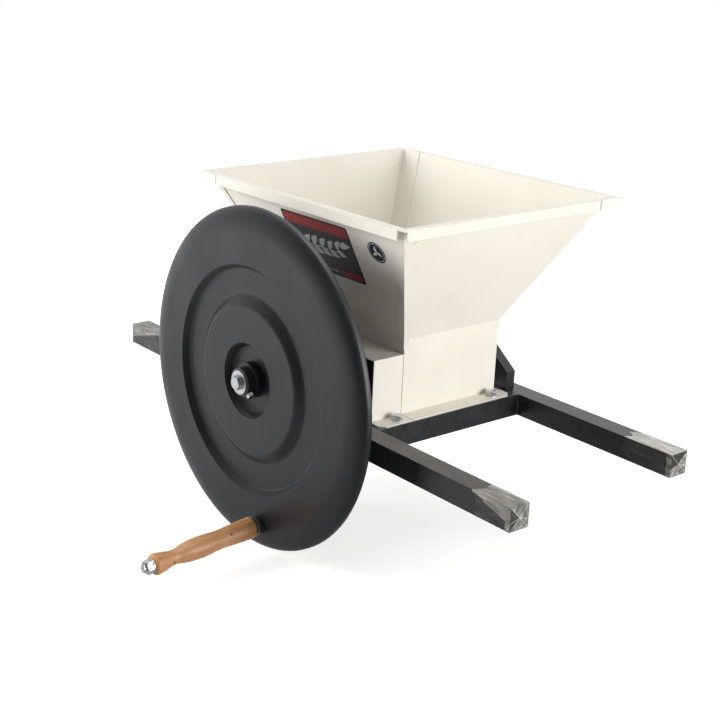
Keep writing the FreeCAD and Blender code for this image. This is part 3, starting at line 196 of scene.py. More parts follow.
relief = add(tree, "ShaderNodeBump", {"Strength": 0.3, "Distance": 0.00006},
             {"Height": skin, "Normal": edges})
tree.links.new(relief.outputs[0], shader.inputs["Normal"])
FINISHES["wheel_plastic"] = material
print("wheel skin, grain of", round(1000 / WHEEL_GRAIN, 1), "mm")


# %% [markdown]
# Two more plastics: the black polyethylene of the tube plugs and the white polyethylene of
# the drum. Both are waxy, so they are rougher than paint, with a low grain of 1.5 mm.

# %% Polyethylenes
def polyethylene(slot, name, low, high):
    material, tree, shader, place = finish(name, Roughness=0.5, IOR=1.51)
    cloud = add(tree, "ShaderNodeTexNoise", {"Scale": 70, "Detail": 3}, {"Vector": place})
    tone = add(tree, "ShaderNodeMix", {6: colour(low), 7: colour(high)}, {0: cloud},
               data_type="RGBA")
    tree.links.new(tone.outputs[2], shader.inputs["Base Color"])
    sheen = add(tree, "ShaderNodeMapRange", {"To Min": 0.4, "To Max": 0.6}, {"Value": cloud})
    tree.links.new(sheen.outputs[0], shader.inputs["Roughness"])
    wax = add(tree, "ShaderNodeTexNoise", {"Scale": 660, "Detail": 1}, {"Vector": place})
    relief = add(tree, "ShaderNodeBump", {"Strength": 0.3, "Distance": 0.00008}, {"Height": wax})
    tree.links.new(relief.outputs[0], shader.inputs["Normal"])
    FINISHES[slot] = material


polyethylene("plug_plastic", "polyethylene_plug_black", "141516", "1F2021")
polyethylene("drum_plastic", "polyethylene_drum_white", "D9D7CE", "E6E4DC")
print("two polyethylenes")

# %% [markdown]
# The grip is turned beech under clear varnish. Its grain runs along the grip, so the noise
# is stretched that way: fibres 2.4 mm wide and 4 cm long, drawn wider than real ones so
# that they show, under a broad change from heart to sap. Beech also has short dark flecks,
# and this piece two little knots. The varnish is a thin satin clear coat.

# %% Varnished beech
GRIP_KNOTS = ((0.0450, -0.2803, -0.1159), (0.0455, -0.3680, -0.1317))
KNOT_R = 0.0024

material, tree, shader, place = finish("beech_varnished", Roughness=0.48, IOR=1.5,
                                       Coat_Weight=0.25, Coat_Roughness=0.3)
lengthways = add(tree, "ShaderNodeMapping", {"Scale": (1.0, 0.06, 1.0)}, {"Vector": place})
fibres = add(tree, "ShaderNodeTexNoise", {"Scale": 420, "Detail": 4, "Roughness": 0.65},
             {"Vector": lengthways})
fibres = add(tree, "ShaderNodeMapRange", {"From Min": 0.3, "From Max": 0.7}, {"Value": fibres})
wood = add(tree, "ShaderNodeMix", {6: colour("BC8553"), 7: colour("DCAB7A")}, {0: fibres},
           data_type="RGBA")
stretched = add(tree, "ShaderNodeMapping", {"Scale": (1.0, 0.22, 1.0)}, {"Vector": place})
broad = add(tree, "ShaderNodeTexNoise", {"Scale": 60, "Detail": 3}, {"Vector": stretched})
broad = add(tree, "ShaderNodeMapRange", {"From Min": 0.35, "From Max": 0.65, "To Max": 0.55},
            {"Value": broad})
wood = add(tree, "ShaderNodeMix", {7: colour("AE7140")}, {0: broad, 6: wood.outputs[2]},
           data_type="RGBA")
short = add(tree, "ShaderNodeMapping", {"Scale": (1.0, 0.3, 1.0)}, {"Vector": place})
flecks = add(tree, "ShaderNodeTexNoise", {"Scale": 900, "Detail": 1}, {"Vector": short})
flecks = add(tree, "ShaderNodeMapRange", {"From Min": 0.62, "From Max": 0.72, "To Max": 0.5},
             {"Value": flecks})
wood = add(tree, "ShaderNodeMix", {7: colour("6B4324")}, {0: flecks, 6: wood.outputs[2]},
           data_type="RGBA")
for spot in GRIP_KNOTS:
    away = add(tree, "ShaderNodeVectorMath", {1: spot}, {0: place}, operation="DISTANCE")
    near = add(tree, "ShaderNodeMapRange", {"From Min": KNOT_R, "From Max": KNOT_R * 0.35},
               {"Value": away.outputs["Value"]})
    wood = add(tree, "ShaderNodeMix", {7: colour("4E2C18")}, {0: near, 6: wood.outputs[2]},
               data_type="RGBA")
tree.links.new(wood.outputs[2], shader.inputs["Base Color"])
relief = add(tree, "ShaderNodeBump", {"Strength": 0.3, "Distance": 0.0001}, {"Height": fibres})
tree.links.new(relief.outputs[0], shader.inputs["Normal"])
FINISHES["grip_wood"] = material
print("beech with", len(GRIP_KNOTS), "knots")


# %% [markdown]
# The metals differ in tone, in how rough they are and in the way their marks run. Zinc has
# crystals a few millimetres across. The plates and teeth that touch fruit are stainless,
# brushed along X. The shaft is ground round Y. The bushes are sintered bronze.

# %% Metals
def metal(slot, name, low, high, rough, waves, stretch, depth):
    # waves are marks per metre, and depth is how deep they are
    material, tree, shader, place = finish(name, Metallic=1.0, Roughness=rough)
    marks_way = add(tree, "ShaderNodeMapping", {"Scale": stretch}, {"Vector": place})
    marks = add(tree, "ShaderNodeTexNoise", {"Scale": waves, "Detail": 3, "Roughness": 0.6},
                {"Vector": marks_way})
    spread = add(tree, "ShaderNodeMapRange", {"From Min": 0.3, "From Max": 0.7},
                 {"Value": marks})
    tone = add(tree, "ShaderNodeMix", {6: colour(low), 7: colour(high)}, {0: spread},
               data_type="RGBA")
    tree.links.new(tone.outputs[2], shader.inputs["Base Color"])
    sheen = add(tree, "ShaderNodeMapRange", {"To Min": rough * 1.3, "To Max": rough * 0.75},
                {"Value": spread})
    tree.links.new(sheen.outputs[0], shader.inputs["Roughness"])
    edges = add(tree, "ShaderNodeBevel", {"Radius": 0.0003}, samples=4)
    relief = add(tree, "ShaderNodeBump", {"Strength": 0.3, "Distance": depth},
                 {"Height": marks, "Normal": edges})
    tree.links.new(relief.outputs[0], shader.inputs["Normal"])
    FINISHES[slot] = material


metal("zinc", "zinc_plated_steel", "B4B8BC", "D2D5D6", 0.3, 350, (1, 1, 1), 0.00003)
metal("stainless", "stainless_brushed", "B4B6B7", "D0D2D2", 0.3, 120, (1, 14, 14), 0.00002)
metal("bright_steel", "steel_ground_bright", "B9BBBE", "D0D2D4", 0.2, 80, (10, 1, 10), 0.00001)
metal("bronze", "bronze_sintered", "A4783F", "C39559", 0.38, 500, (1, 1, 1), 0.00003)
print("four metals")

# %% [markdown]
# The bearing housings are cast iron under thin grey paint. A sand mould leaves a coarse
# pebbled skin of about 2 mm, which the paint softens.

# %% Painted cast iron
material, tree, shader, place = finish("cast_iron_grey_paint", Roughness=0.45, IOR=1.5)
pebbles = add(tree, "ShaderNodeTexNoise", {"Scale": 500, "Detail": 3}, {"Vector": place})
tone = add(tree, "ShaderNodeMix", {6: colour("575B5F"), 7: colour("73777B")}, {0: pebbles},
           data_type="RGBA")
tree.links.new(tone.outputs[2], shader.inputs["Base Color"])
relief = add(tree, "ShaderNodeBump", {"Strength": 0.5, "Distance": 0.0004},
             {"Height": pebbles})
tree.links.new(relief.outputs[0], shader.inputs["Normal"])
FINISHES["bearing_iron"] = material
print("cast iron, pebbles of 2 mm")

# %% [markdown]
# Each part of the frame names the material slot that it belongs to. The finishes are kept
# under the same names, so handing them out takes one loop.

# %% Finishes handed out
for row in frame["record"]["subparts"]:
    part = frame["nodes"][row["node"]]
    part.data.materials.clear()
    part.data.materials.append(FINISHES[row["material_slot"]])
print(len(FINISHES), "finishes on", len(frame["nodes"]), "parts")


# %% [markdown]
# The added pieces are modelled as by hand: a simple shape is put down, then cut, inset,
# bevelled or pushed. Operators work on what is selected, so each step starts from nothing
# selected, and picks faces, edges or corners by a test. A finished piece keeps its place in
# its mesh, as the frame's parts do, and what repeats is modelled once and copied.

# %% Helpers for modelling
def only(piece):
    bpy.ops.object.select_all(action="DESELECT")
    piece.select_set(True)
    bpy.context.view_layer.objects.active = piece


def pick(piece, kind, test):
    # opens edit mode; test gets a face's middle and normal, or an edge's or corner's points
    only(piece)
    bpy.ops.object.mode_set(mode="EDIT")
    bpy.ops.mesh.select_mode(type=kind)
    bpy.ops.mesh.select_all(action="DESELECT")
    mesh = bmesh.from_edit_mesh(piece.data)
    if kind == "FACE":
        chosen = [f for f in mesh.faces if test(f.calc_center_median(), f.normal)]
    elif kind == "EDGE":
        chosen = [e for e in mesh.edges if test(e.verts[0].co, e.verts[1].co)]
    else:
        chosen = [v for v in mesh.verts if test(v.co)]
    for element in chosen:
        element.select_set(True)
    mesh.select_flush_mode()
    bmesh.update_edit_mesh(piece.data)


def done():
    bpy.ops.object.mode_set(mode="OBJECT")


def settle(name):
    # names the active piece and moves its place, turn and size into its mesh
    piece = bpy.context.view_layer.objects.active
    piece.name = name
    piece.data.name = name
    only(piece)
    bpy.ops.object.transform_apply(location=True, rotation=True, scale=True)
    return piece


def apply_all(piece):
    only(piece)
    for modifier in list(piece.modifiers):
        bpy.ops.object.modifier_apply(modifier=modifier.name)


def twin(piece, name, matrix):
    # a copy with its own mesh, put in another place
    copy = piece.copy()
    copy.data = piece.data.copy()
    copy.name = name
    copy.data.name = name
    bpy.context.scene.collection.objects.link(copy)
    copy.data.transform(matrix)
    return copy


print("modelling helpers ready")

# %% [markdown]
# The cross tubes are welded to the rails. A weld run is a row of overlapping ripples, each
# one frozen before the next was laid, like leaning coins. One ripple is a flattened ball.
# An array repeats it up the corner and a voxel remesh melts the row into one skin. Copies of
# the bead, turned by quarter turns, go to the other corners.

# %% Weld beads at the corners of the frame
RIPPLE_R = 0.0026
RIPPLE_FLAT = 0.62
RIPPLE_STEP = 0.0021
RIPPLE_LEAN = math.radians(24)
RIPPLES = 13
SKIN_GRAIN = 0.00042

bpy.ops.object.select_all(action="DESELECT")
bpy.ops.mesh.primitive_uv_sphere_add(segments=20, ring_count=12, radius=RIPPLE_R,
                                     location=(0, 0, RIPPLE_STEP))
ripple = bpy.context.object
ripple.scale = (1.0, 1.0, RIPPLE_FLAT)
ripple.rotation_euler = (-RIPPLE_LEAN, -RIPPLE_LEAN, 0)
bead = settle("weld_bead")
row = bead.modifiers.new("row", "ARRAY")
row.use_relative_offset = False
row.use_constant_offset = True
row.constant_offset_displace = (0, 0, RIPPLE_STEP)
row.count = RIPPLES
melt = bead.modifiers.new("melt", "REMESH")
melt.mode = "VOXEL"
melt.voxel_size = SKIN_GRAIN
melt.use_smooth_shade = True
apply_all(bead)
bead.data.materials.append(FINISHES["black_paint"])

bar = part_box("front_crossbar")
corners = [(side_x, side_y, x, out) for side_x in (-1, 1) for side_y in (-1, 1)
           for x, out in ((bar[1].x, 1), (bar[0].x, -1))]
for side_x, side_y, x, out in corners:
    spot = "%s_%s_%s" % ("front" if side_x > 0 else "rear", "far" if side_y > 0 else "near",
                         "outer" if out > 0 else "inner")
    quarter = math.atan2(-side_y, side_x * out) + math.radians(45)
    place = Matrix.Translation((side_x * x, side_y * bar[1].y, 0))
    weld = twin(bead, "weld_" + spot, place @ Matrix.Rotation(quarter, 4, "Z"))
    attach(weld, "frame")
print(len(corners), "weld beads of", len(bead.data.polygons), "faces")
bpy.data.objects.remove(bead)


# %% [markdown]
# A bolt's tip that shows past its nut is threaded. The thread is one ridge that climbs a
# helix, so its triangular section is drawn once and turned by a screw modifier. The two
# open ends are closed, and the finished thread is copied to each tip of its size.

# %% Threads on the bolt ends that show
RIDGE_SUNK = 0.0004  # its root is inside the plain shank
RIDGE_PROUD = 0.00012
RIDGE_WIDE = 0.84  # share of the pitch
STEPS_A_TURN = 28


def thread_blank(name, radius, pitch, length):
    mesh = bpy.data.meshes.new(name)
    root = radius - RIDGE_SUNK
    wide = pitch * RIDGE_WIDE
    section = [(root, 0, 0), (radius + RIDGE_PROUD, 0, wide / 2), (root, 0, wide)]
    mesh.from_pydata(section, [(0, 1), (1, 2), (2, 0)], [])
    ridge = bpy.data.objects.new(name, mesh)
    bpy.context.scene.collection.objects.link(ridge)
    turns = length / pitch
    helix = ridge.modifiers.new("helix", "SCREW")
    helix.angle = math.tau * turns
    helix.screw_offset = length - wide
    helix.steps = int(STEPS_A_TURN * turns)
    helix.render_steps = helix.steps
    apply_all(ridge)
    pick(ridge, "VERT", lambda co: True)
    bpy.ops.mesh.fill_holes(sides=3)
    bpy.ops.mesh.select_all(action="SELECT")
    bpy.ops.mesh.normals_make_consistent(inside=False)
    done()
    ridge.data.materials.append(FINISHES["zinc"])
    return ridge


def thread_at(blank, name, base, axis, body):
    tilt = Vector((0, 0, 1)).rotation_difference(Vector(axis)).to_matrix().to_4x4()
    ridge = twin(blank, name, Matrix.Translation(base) @ tilt)
    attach(ridge, body)


STUD_R, STUD_PITCH = 0.005, 0.0015
ROD_R, ROD_PITCH = 0.004, 0.00125
STUD_AXIS = Vector((0.01302, -0.99719, -0.07384)).normalized()
STUD_FOOT = Vector((0.03377, -0.229, -0.11955))  # where it leaves the wheel's face
GRIP_NUT_FACE = 0.1777  # outer face of the grip's nut, from there
THREAD_SHOWS = 0.003
TIP_BARE = 0.0002

m10 = thread_blank("thread_10mm", STUD_R, STUD_PITCH, THREAD_SHOWS)
thread_at(m10, "thread_grip_stud", STUD_FOOT + STUD_AXIS * GRIP_NUT_FACE, STUD_AXIS, "rotor")
bpy.data.objects.remove(m10)
m8 = thread_blank("thread_8mm", ROD_R, ROD_PITCH, THREAD_SHOWS)
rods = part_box("counter_rods")
rod_x = rods[1].x - ROD_R
rod_z = (rods[0].z + rods[1].z) / 2
for side, word in ((1, "front"), (-1, "rear")):
    far_tip = (side * rod_x, rods[1].y - THREAD_SHOWS - TIP_BARE, rod_z)
    near_tip = (side * rod_x, rods[0].y + THREAD_SHOWS + TIP_BARE, rod_z)
    thread_at(m8, "thread_rod_%s_far" % word, far_tip, (0, 1, 0), "frame")
    thread_at(m8, "thread_rod_%s_near" % word, near_tip, (0, -1, 0), "frame")
bpy.data.objects.remove(m8)
print("5 threads, rods end at", round(rods[1].y, 4))

# %% [markdown]
# The near wall of the hopper leans out over the wheel. Flat things stuck on it are drawn
# lying flat, in the wall's own measure (along the wall, up the slope), and one matrix lifts
# them onto it. The matrix holds the wall's two directions and the direction it faces.

# %% The near wall as a drawing board
WALL_FOOT = Vector((0, -0.066, 0.134))
WALL_RISE = Vector((0, -0.087, 0.175))

wall_up = WALL_RISE.normalized()
wall_along = Vector((1, 0, 0))
wall_out = wall_along.cross(wall_up)
NEAR_WALL = (Matrix.Translation(WALL_FOOT)
             @ Matrix((wall_along, wall_up, wall_out)).transposed().to_4x4())
print("near wall faces", [round(v, 3) for v in wall_out])


# %% [markdown]
# The label is printed vinyl under a satin laminate, in black, red and pale grey. The ink has
# a slight mottle of about 2 mm. The stiff sheet never lies quite flat, so the laminate has a
# slow unevenness.

# %% Label finishes
def laminate(name, low, high):
    material, tree, shader, place = finish(name, Roughness=0.42, IOR=1.46,
                                           Specular_IOR_Level=0.3)
    mottle = add(tree, "ShaderNodeTexNoise", {"Scale": 450, "Detail": 3}, {"Vector": place})
    mottle = add(tree, "ShaderNodeMapRange", {"From Min": 0.35, "From Max": 0.65},
                 {"Value": mottle})
    tone = add(tree, "ShaderNodeMix", {6: colour(low), 7: colour(high)}, {0: mottle},
               data_type="RGBA")
    tree.links.new(tone.outputs[2], shader.inputs["Base Color"])
    slack = add(tree, "ShaderNodeTexNoise", {"Scale": 45, "Detail": 1}, {"Vector": place})
    relief = add(tree, "ShaderNodeBump", {"Strength": 0.25, "Distance": 0.0004},
                 {"Height": slack})
    tree.links.new(relief.outputs[0], shader.inputs["Normal"])
    return material


vinyl_black = laminate("vinyl_black_laminated", "0C0D0F", "141517")
vinyl_red = laminate("vinyl_red_laminated", "860F17", "A8171E")
vinyl_pale = laminate("vinyl_pale_grey_laminated", "C6C8CA", "E0E2E3")
print("three vinyls")

# %% [markdown]
# The label has a black ground with a red band across its top, and a pale rule and a red
# block at its foot. Real ink has next to no thickness. Here each colour is a sheet of its own
# that stands a little higher than the ground, because two faces in one plane would flicker.

# %% Label and its bands
LABEL_X, LABEL_S = 0.0125, 0.121
LABEL_WIDE, LABEL_HIGH = 0.137, 0.090
GLUE = 0.00004
VINYL = 0.0002
ON_VINYL = GLUE + VINYL
INK = 0.00008


def flat_plate(name, width, height, x, s, lift, thick, round_by, vinyl):
    # a thin sheet with rounded corners; x and s are its middle on the wall
    bpy.ops.object.select_all(action="DESELECT")
    bpy.ops.mesh.primitive_plane_add(size=1, location=(0, 0, 0))
    bpy.context.object.scale = (width, height, 1)
    plate = settle(name)
    pick(plate, "VERT", lambda co: True)
    bpy.ops.mesh.bevel(offset=round_by, segments=5, affect="VERTICES")
    done()
    sheet = plate.modifiers.new("thickness", "SOLIDIFY")
    sheet.thickness = thick
    sheet.offset = 1
    apply_all(plate)
    plate.data.transform(NEAR_WALL @ Matrix.Translation((x, s, lift)))
    plate.data.materials.append(vinyl)
    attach(plate, "frame")


flat_plate("label_ground", LABEL_WIDE, LABEL_HIGH, LABEL_X, LABEL_S, GLUE, VINYL, 0.004,
           vinyl_black)
# width, height, place along and up from the label's middle, corner radius
for name, width, height, along, up, corner, vinyl in (
        ("label_band", LABEL_WIDE - 0.006, 0.016, 0.0, 0.034, 0.002, vinyl_red),
        ("label_block", 0.042, 0.010, 0.0445, -0.037, 0.0012, vinyl_red),
        ("label_rule", LABEL_WIDE - 0.06, 0.0016, -0.022, -0.037, 0.0005, vinyl_pale)):
    flat_plate(name, width, height, LABEL_X + along, LABEL_S + up, ON_VINYL, INK, corner, vinyl)
print("label", round(LABEL_WIDE * 1000), "x", round(LABEL_HIGH * 1000), "mm")


# %% [markdown]
# A pale sprig of leaves, a plain ornament, lies across the label. One leaf is drawn and the
# others are copies of it. It starts as a narrow plane; cuts across it give points to pull
# in, and squeezing them to a sine curve makes the leaf's outline, which a second sine bends
# like a real leaf. The power of 0.8 makes it broadest nearer its stalk.

# %% A leaf and the sprig
LEAF_LONG = 0.024
LEAF_WIDE = 0.011
LEAF_BEND = 0.10  # share of its length
SPRIG_STEP = 0.0165


def leaf_blank():
    bpy.ops.object.select_all(action="DESELECT")
    bpy.ops.mesh.primitive_plane_add(size=1, location=(LEAF_LONG / 2, 0, 0))
    bpy.context.object.scale = (LEAF_LONG, LEAF_WIDE, 1)
    leaf = settle("leaf_blank")
    pick(leaf, "EDGE", lambda a, b: True)
    bpy.ops.mesh.subdivide(number_cuts=11)
    done()
    for vert in leaf.data.vertices:
        along = min(max(vert.co.x / LEAF_LONG, 0), 1)
        vert.co.y *= max(math.sin(math.pi * along ** 0.8), 0.02)
        vert.co.y += LEAF_BEND * LEAF_LONG * math.sin(math.pi * along)
    sheet = leaf.modifiers.new("thickness", "SOLIDIFY")
    sheet.thickness = INK
    sheet.offset = 1
    apply_all(leaf)
    leaf.data.materials.append(vinyl_pale)
    return leaf


def place_leaf(name, x, s, angle, size, flip):
    # a flip of -1 mirrors the leaf, which turns its faces inwards, so they are turned back
    spot = (NEAR_WALL @ Matrix.Translation((x, s, ON_VINYL))
            @ Matrix.Rotation(math.radians(angle), 4, "Z")
            @ Matrix.Diagonal((size, size * flip, 1, 1)))
    leaf = twin(leaf_pattern, name, spot)
    pick(leaf, "FACE", lambda c, n: True)
    bpy.ops.mesh.normals_make_consistent(inside=False)
    done()
    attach(leaf, "frame")


leaf_pattern = leaf_blank()
for i in range(6):
    # the pairs climb along the label in a slight wave and get smaller
    x = LABEL_X - 0.052 + SPRIG_STEP * i
    s = LABEL_S - 0.010 + 0.0030 * i + 0.003 * math.sin(i * 1.1)
    size = 1.0 - 0.04 * i
    place_leaf("sprig_leaf_%d_upper" % i, x, s, 50, size, 1)
    place_leaf("sprig_leaf_%d_lower" % i, x, s, -30, size, -1)
place_leaf("sprig_leaf_tip", LABEL_X + 0.040, LABEL_S + 0.008, 14, 0.95, 1)
flat_plate("sprig_stem", 0.096, 0.0016, LABEL_X - 0.004, LABEL_S - 0.002, ON_VINYL + INK,
           0.00005, 0.0005, vinyl_pale)
print("leaf", round(LEAF_LONG * 1000), "mm long, 13 on the sprig")

# %% [markdown]
# The round sticker beside it is a black disc with a thin pale ring and three leaves. The
# ring is a disc whose face is inset, with the middle taken out before it gets a thickness.

# %% Round sticker
STICKER_X, STICKER_S = 0.1292, 0.141
STICKER_R = 0.0157
RING_R = STICKER_R - 0.0018
RING_WIDE = 0.0009


def disc_plate(name, radius, hole, lift, thick, vinyl):
    # a thin disc, or a ring where hole, its inner radius, isn't 0
    bpy.ops.object.select_all(action="DESELECT")
    bpy.ops.mesh.primitive_circle_add(vertices=64, radius=radius, fill_type="NGON")
    disc = settle(name)
    if hole:
        pick(disc, "FACE", lambda c, n: True)
        bpy.ops.mesh.inset(thickness=radius - hole)
        bpy.ops.mesh.delete(type="FACE")
        done()
    sheet = disc.modifiers.new("thickness", "SOLIDIFY")
    sheet.thickness = thick
    sheet.offset = 1
    apply_all(disc)
    disc.data.transform(NEAR_WALL @ Matrix.Translation((STICKER_X, STICKER_S, lift)))
    disc.data.materials.append(vinyl)
    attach(disc, "frame")


disc_plate("sticker_ground", STICKER_R, 0, GLUE, VINYL, vinyl_black)
disc_plate("sticker_ring", RING_R, RING_R - RING_WIDE, ON_VINYL, INK, vinyl_pale)
for i in range(3):
    place_leaf("sticker_leaf_%d" % i, STICKER_X, STICKER_S, 90 + 120 * i, 0.42, 1)
bpy.data.objects.remove(leaf_pattern)
print("sticker", round(STICKER_R * 2000, 1), "mm across")


# %% [markdown]
# Two blind rivets hold the folded strips near the front corner. A blind rivet is a low dome
# with a dimple where its pin broke off: a short cylinder, its top inset and pushed down,
# its rim bevelled round.

# %% Blind rivets
RIVET_R = 0.0024
RIVET_HIGH = 0.0009
RIVET_ROUND = 0.0005
DIMPLE_R = 0.0011
DIMPLE_DEEP = 0.0006


def blind_rivet(name, matrix):
    bpy.ops.object.select_all(action="DESELECT")
    bpy.ops.mesh.primitive_cylinder_add(vertices=32, radius=RIVET_R, depth=RIVET_HIGH,
                                        location=(0, 0, RIVET_HIGH / 2))
    rivet = settle(name)
    pick(rivet, "FACE", lambda c, n: n.z > 0.9)
    bpy.ops.mesh.inset(thickness=RIVET_R - DIMPLE_R)
    bpy.ops.transform.translate(value=(0, 0, -DIMPLE_DEEP))
    done()
    pick(rivet, "EDGE", lambda a, b: min(a.z, b.z) > RIVET_HIGH * 0.9
         and a.xy.length > RIVET_R * 0.9)
    bpy.ops.mesh.bevel(offset=RIVET_ROUND, segments=4)
    done()
    only(rivet)
    bpy.ops.object.shade_smooth_by_angle(angle=math.radians(35))
    rivet.data.transform(matrix)
    rivet.data.materials.append(FINISHES["white_paint"])
    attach(rivet, "frame")


FRONT_RISE = Vector((0.083, 0, 0.175))
FRONT_RIVET = Vector((0.1943, -0.1228, 0.2864))
NEAR_RIVET = Vector((0.100, 0.004, 0))  # in the near wall's own measure

front_along = Vector((0, 1, 0))
front_up = FRONT_RISE.normalized()
FRONT_WALL = Matrix((front_along, front_up, front_along.cross(front_up))).transposed().to_4x4()
blind_rivet("rivet_front_wall", Matrix.Translation(FRONT_RIVET) @ FRONT_WALL)
blind_rivet("rivet_near_wall", NEAR_WALL @ Matrix.Translation(NEAR_RIVET))
print("a rivet on each wall, heads", round(RIVET_R * 2000, 1), "mm across")


# %% [markdown]
# The mill is new: clear stretch film still wraps the ends of the rails. Film over black
# paint is nearly black itself, with grey haze where it lies double. Its long bright streaks,
# noise 6 mm wide stretched along the rail, are painted highlights for the glints where it is
# pulled tight. One layer is nearly clear, folded layers are milkier, and the creases of the
# end's parcel fold get an almost white painted highlight, so they are three finishes.

# %% Film finishes
def film(name, low, high, clear, milky):
    material, tree, shader, place = finish(name, Roughness=0.15, IOR=1.5)
    along = add(tree, "ShaderNodeMapping", {"Scale": (0.22, 1.0, 1.0)}, {"Vector": place})
    # the pale parts of these streaks are partly the milky haze of double film and partly a painted
    # highlight
    haze_and_highlight = add(tree, "ShaderNodeTexNoise", {"Scale": 160, "Detail": 1, "Roughness": 0.4},
               {"Vector": along})
    haze_and_highlight = add(tree, "ShaderNodeMapRange", {"From Min": 0.3, "From Max": 0.75},
               {"Value": haze_and_highlight})
    tone = add(tree, "ShaderNodeMix", {6: colour(low), 7: colour(high)}, {0: haze_and_highlight},
               data_type="RGBA")
    tree.links.new(tone.outputs[2], shader.inputs["Base Color"])
    cover = add(tree, "ShaderNodeMapRange", {"To Min": clear, "To Max": milky}, {"Value": haze_and_highlight})
    tree.links.new(cover.outputs[0], shader.inputs["Alpha"])
    relief = add(tree, "ShaderNodeBump", {"Strength": 0.6, "Distance": 0.0008},
                 {"Height": haze_and_highlight})
    tree.links.new(relief.outputs[0], shader.inputs["Normal"])
    return material


film_single = film("stretch_film_one_layer", "66655F", "9A9992", 0.03, 0.12)
film_folded = film("stretch_film_folded", "8F8E86", "C2C1BA", 0.3, 0.56)
# the almost white finish is a painted highlight on the creases and on lit tops
film_crease_highlight = film("stretch_film_crease_highlight", "C4C3BB", "E8E7E0", 0.6, 0.85)
print("three films")


# %% [markdown]
# Each sleeve of film is a box slipped over the tube. Cuts across it part the double layers
# from the single ones: a slanted one down the near side, and one across, near the end. The
# end is folded like a parcel, so its face is poked into four triangles. The inner edge is
# torn, so its points are drawn back by uneven amounts, and small folds stand off the tube.

# %% Sleeves of film on the rail ends
RAIL_Y = 0.141
TUBE_HALF = 0.015
FILM_GAP = 0.0002
FILM_THICK = 0.00006
CORNER_BAND = 0.007  # width of the strip cut off next to the end
SLANT = 0.28  # how steeply the slanted cut rises, away from the end
SLANT_FOOT = 0.012  # its height where that strip ends
FOLD_SIZE = 0.012
FOLD_HIGH = 0.0009
FOLDS_GROW = 0.006  # they reach full height this far from the end
TEAR_DEEP = 0.03
TEAR_FROM = 0.35  # share of the reach where the torn edge starts to wander


def film_sleeve(name, side_x, side_y, reach, layers):
    # reach is how far the film goes in from the end; layers sorts its faces
    end = side_x * (cad_high.x + FILM_GAP)
    rail_y = side_y * RAIL_Y
    bpy.ops.object.select_all(action="DESELECT")
    bpy.ops.mesh.primitive_cube_add(size=1, location=(end - side_x * reach / 2, rail_y, TUBE_HALF))
    bpy.context.object.scale = (reach, 2 * (TUBE_HALF + FILM_GAP), 2 * (TUBE_HALF + FILM_GAP))
    sleeve = settle(name)
    sleeve.data.materials.append(film_single)
    sleeve.data.materials.append(film_folded)
    sleeve.data.materials.append(film_crease_highlight)
    pick(sleeve, "FACE", lambda c, n: n.x * side_x < -0.9)
    bpy.ops.mesh.delete(type="FACE")
    band = end - side_x * CORNER_BAND
    cuts = ((Vector((band, 0, 0)), Vector((1, 0, 0))),
            (Vector((band, 0, SLANT_FOOT)), Vector((side_x * SLANT, 0, 1))),
            (Vector((end - side_x * reach * 0.6, rail_y, 0)), Vector((0.8, 0.6, 0))))
    for point, normal in cuts:
        bpy.ops.mesh.select_all(action="SELECT")
        bpy.ops.mesh.bisect(plane_co=point, plane_no=normal)
    done()
    pick(sleeve, "FACE", lambda c, n: n.x * side_x > 0.9)
    bpy.ops.mesh.dissolve_limited(angle_limit=0.1)
    bpy.ops.mesh.poke(offset=0.0)
    done()
    for slot in (1, 2):
        pick(sleeve, "FACE",
             lambda c, n: layers((end - c.x) * side_x, c.y - rail_y, c.z, n) == slot)
        sleeve.active_material_index = slot
        bpy.ops.object.material_slot_assign()
        done()
    heart = Vector((end, rail_y, TUBE_HALF))
    pick(sleeve, "EDGE", lambda a, b: min((a - heart).length, (b - heart).length) < 0.0005)
    bpy.ops.mesh.bevel(offset=0.0003, segments=1)
    # the bevelled creases get the almost white film, a painted highlight along the folds
    bpy.ops.object.material_slot_assign()
    bpy.ops.mesh.select_all(action="SELECT")
    bpy.ops.mesh.quads_convert_to_tris()
    bpy.ops.mesh.subdivide(number_cuts=11)
    done()
    torn = sleeve.vertex_groups.new(name="torn")
    creased = sleeve.vertex_groups.new(name="creased")
    for vert in sleeve.data.vertices:
        back_by = (end - vert.co.x) * side_x
        wander = max(0.0, (back_by / reach - TEAR_FROM) / (1 - TEAR_FROM)) ** 1.5
        torn.add([vert.index], wander, "REPLACE")
        creased.add([vert.index], min(1.0, back_by / FOLDS_GROW + 0.1), "REPLACE")
    folds = bpy.data.textures.new(name + "_folds", "CLOUDS")
    folds.noise_scale = FOLD_SIZE
    folds.noise_depth = 1
    for word, direction, group, strength in (("tear", "X", "torn", side_x * TEAR_DEEP),
                                             ("crease", "NORMAL", "creased", FOLD_HIGH)):
        shift = sleeve.modifiers.new(word, "DISPLACE")
        shift.texture = folds
        shift.texture_coords = "LOCAL"
        shift.direction = direction
        shift.vertex_group = group
        shift.strength = strength
        shift.mid_level = 0.3
    sheet = sleeve.modifiers.new("thickness", "SOLIDIFY")
    sheet.thickness = FILM_THICK
    sheet.offset = 1
    apply_all(sleeve)
    sleeve.vertex_groups.clear()
    only(sleeve)
    bpy.ops.object.shade_smooth_by_angle(angle=math.radians(40))
    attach(sleeve, "frame")
    return sleeve


print("film", FILM_THICK * 1000, "mm thick")

# %% [markdown]
# No two ends are wrapped alike. For each end a small function looks at a face and says which
# film goes there: 0 is a single layer and 1 a double one, which on faces pointing up also paints
# the light on the tops. 2 is the almost white finish, a painted highlight. It is given the face's
# distance back from the rail's end, its distance from the rail's middle, its height and the way it
# faces.

# %% Where the film lies single, double and painted white
ON_END = 0.001  # faces less far back than this close the tube's end


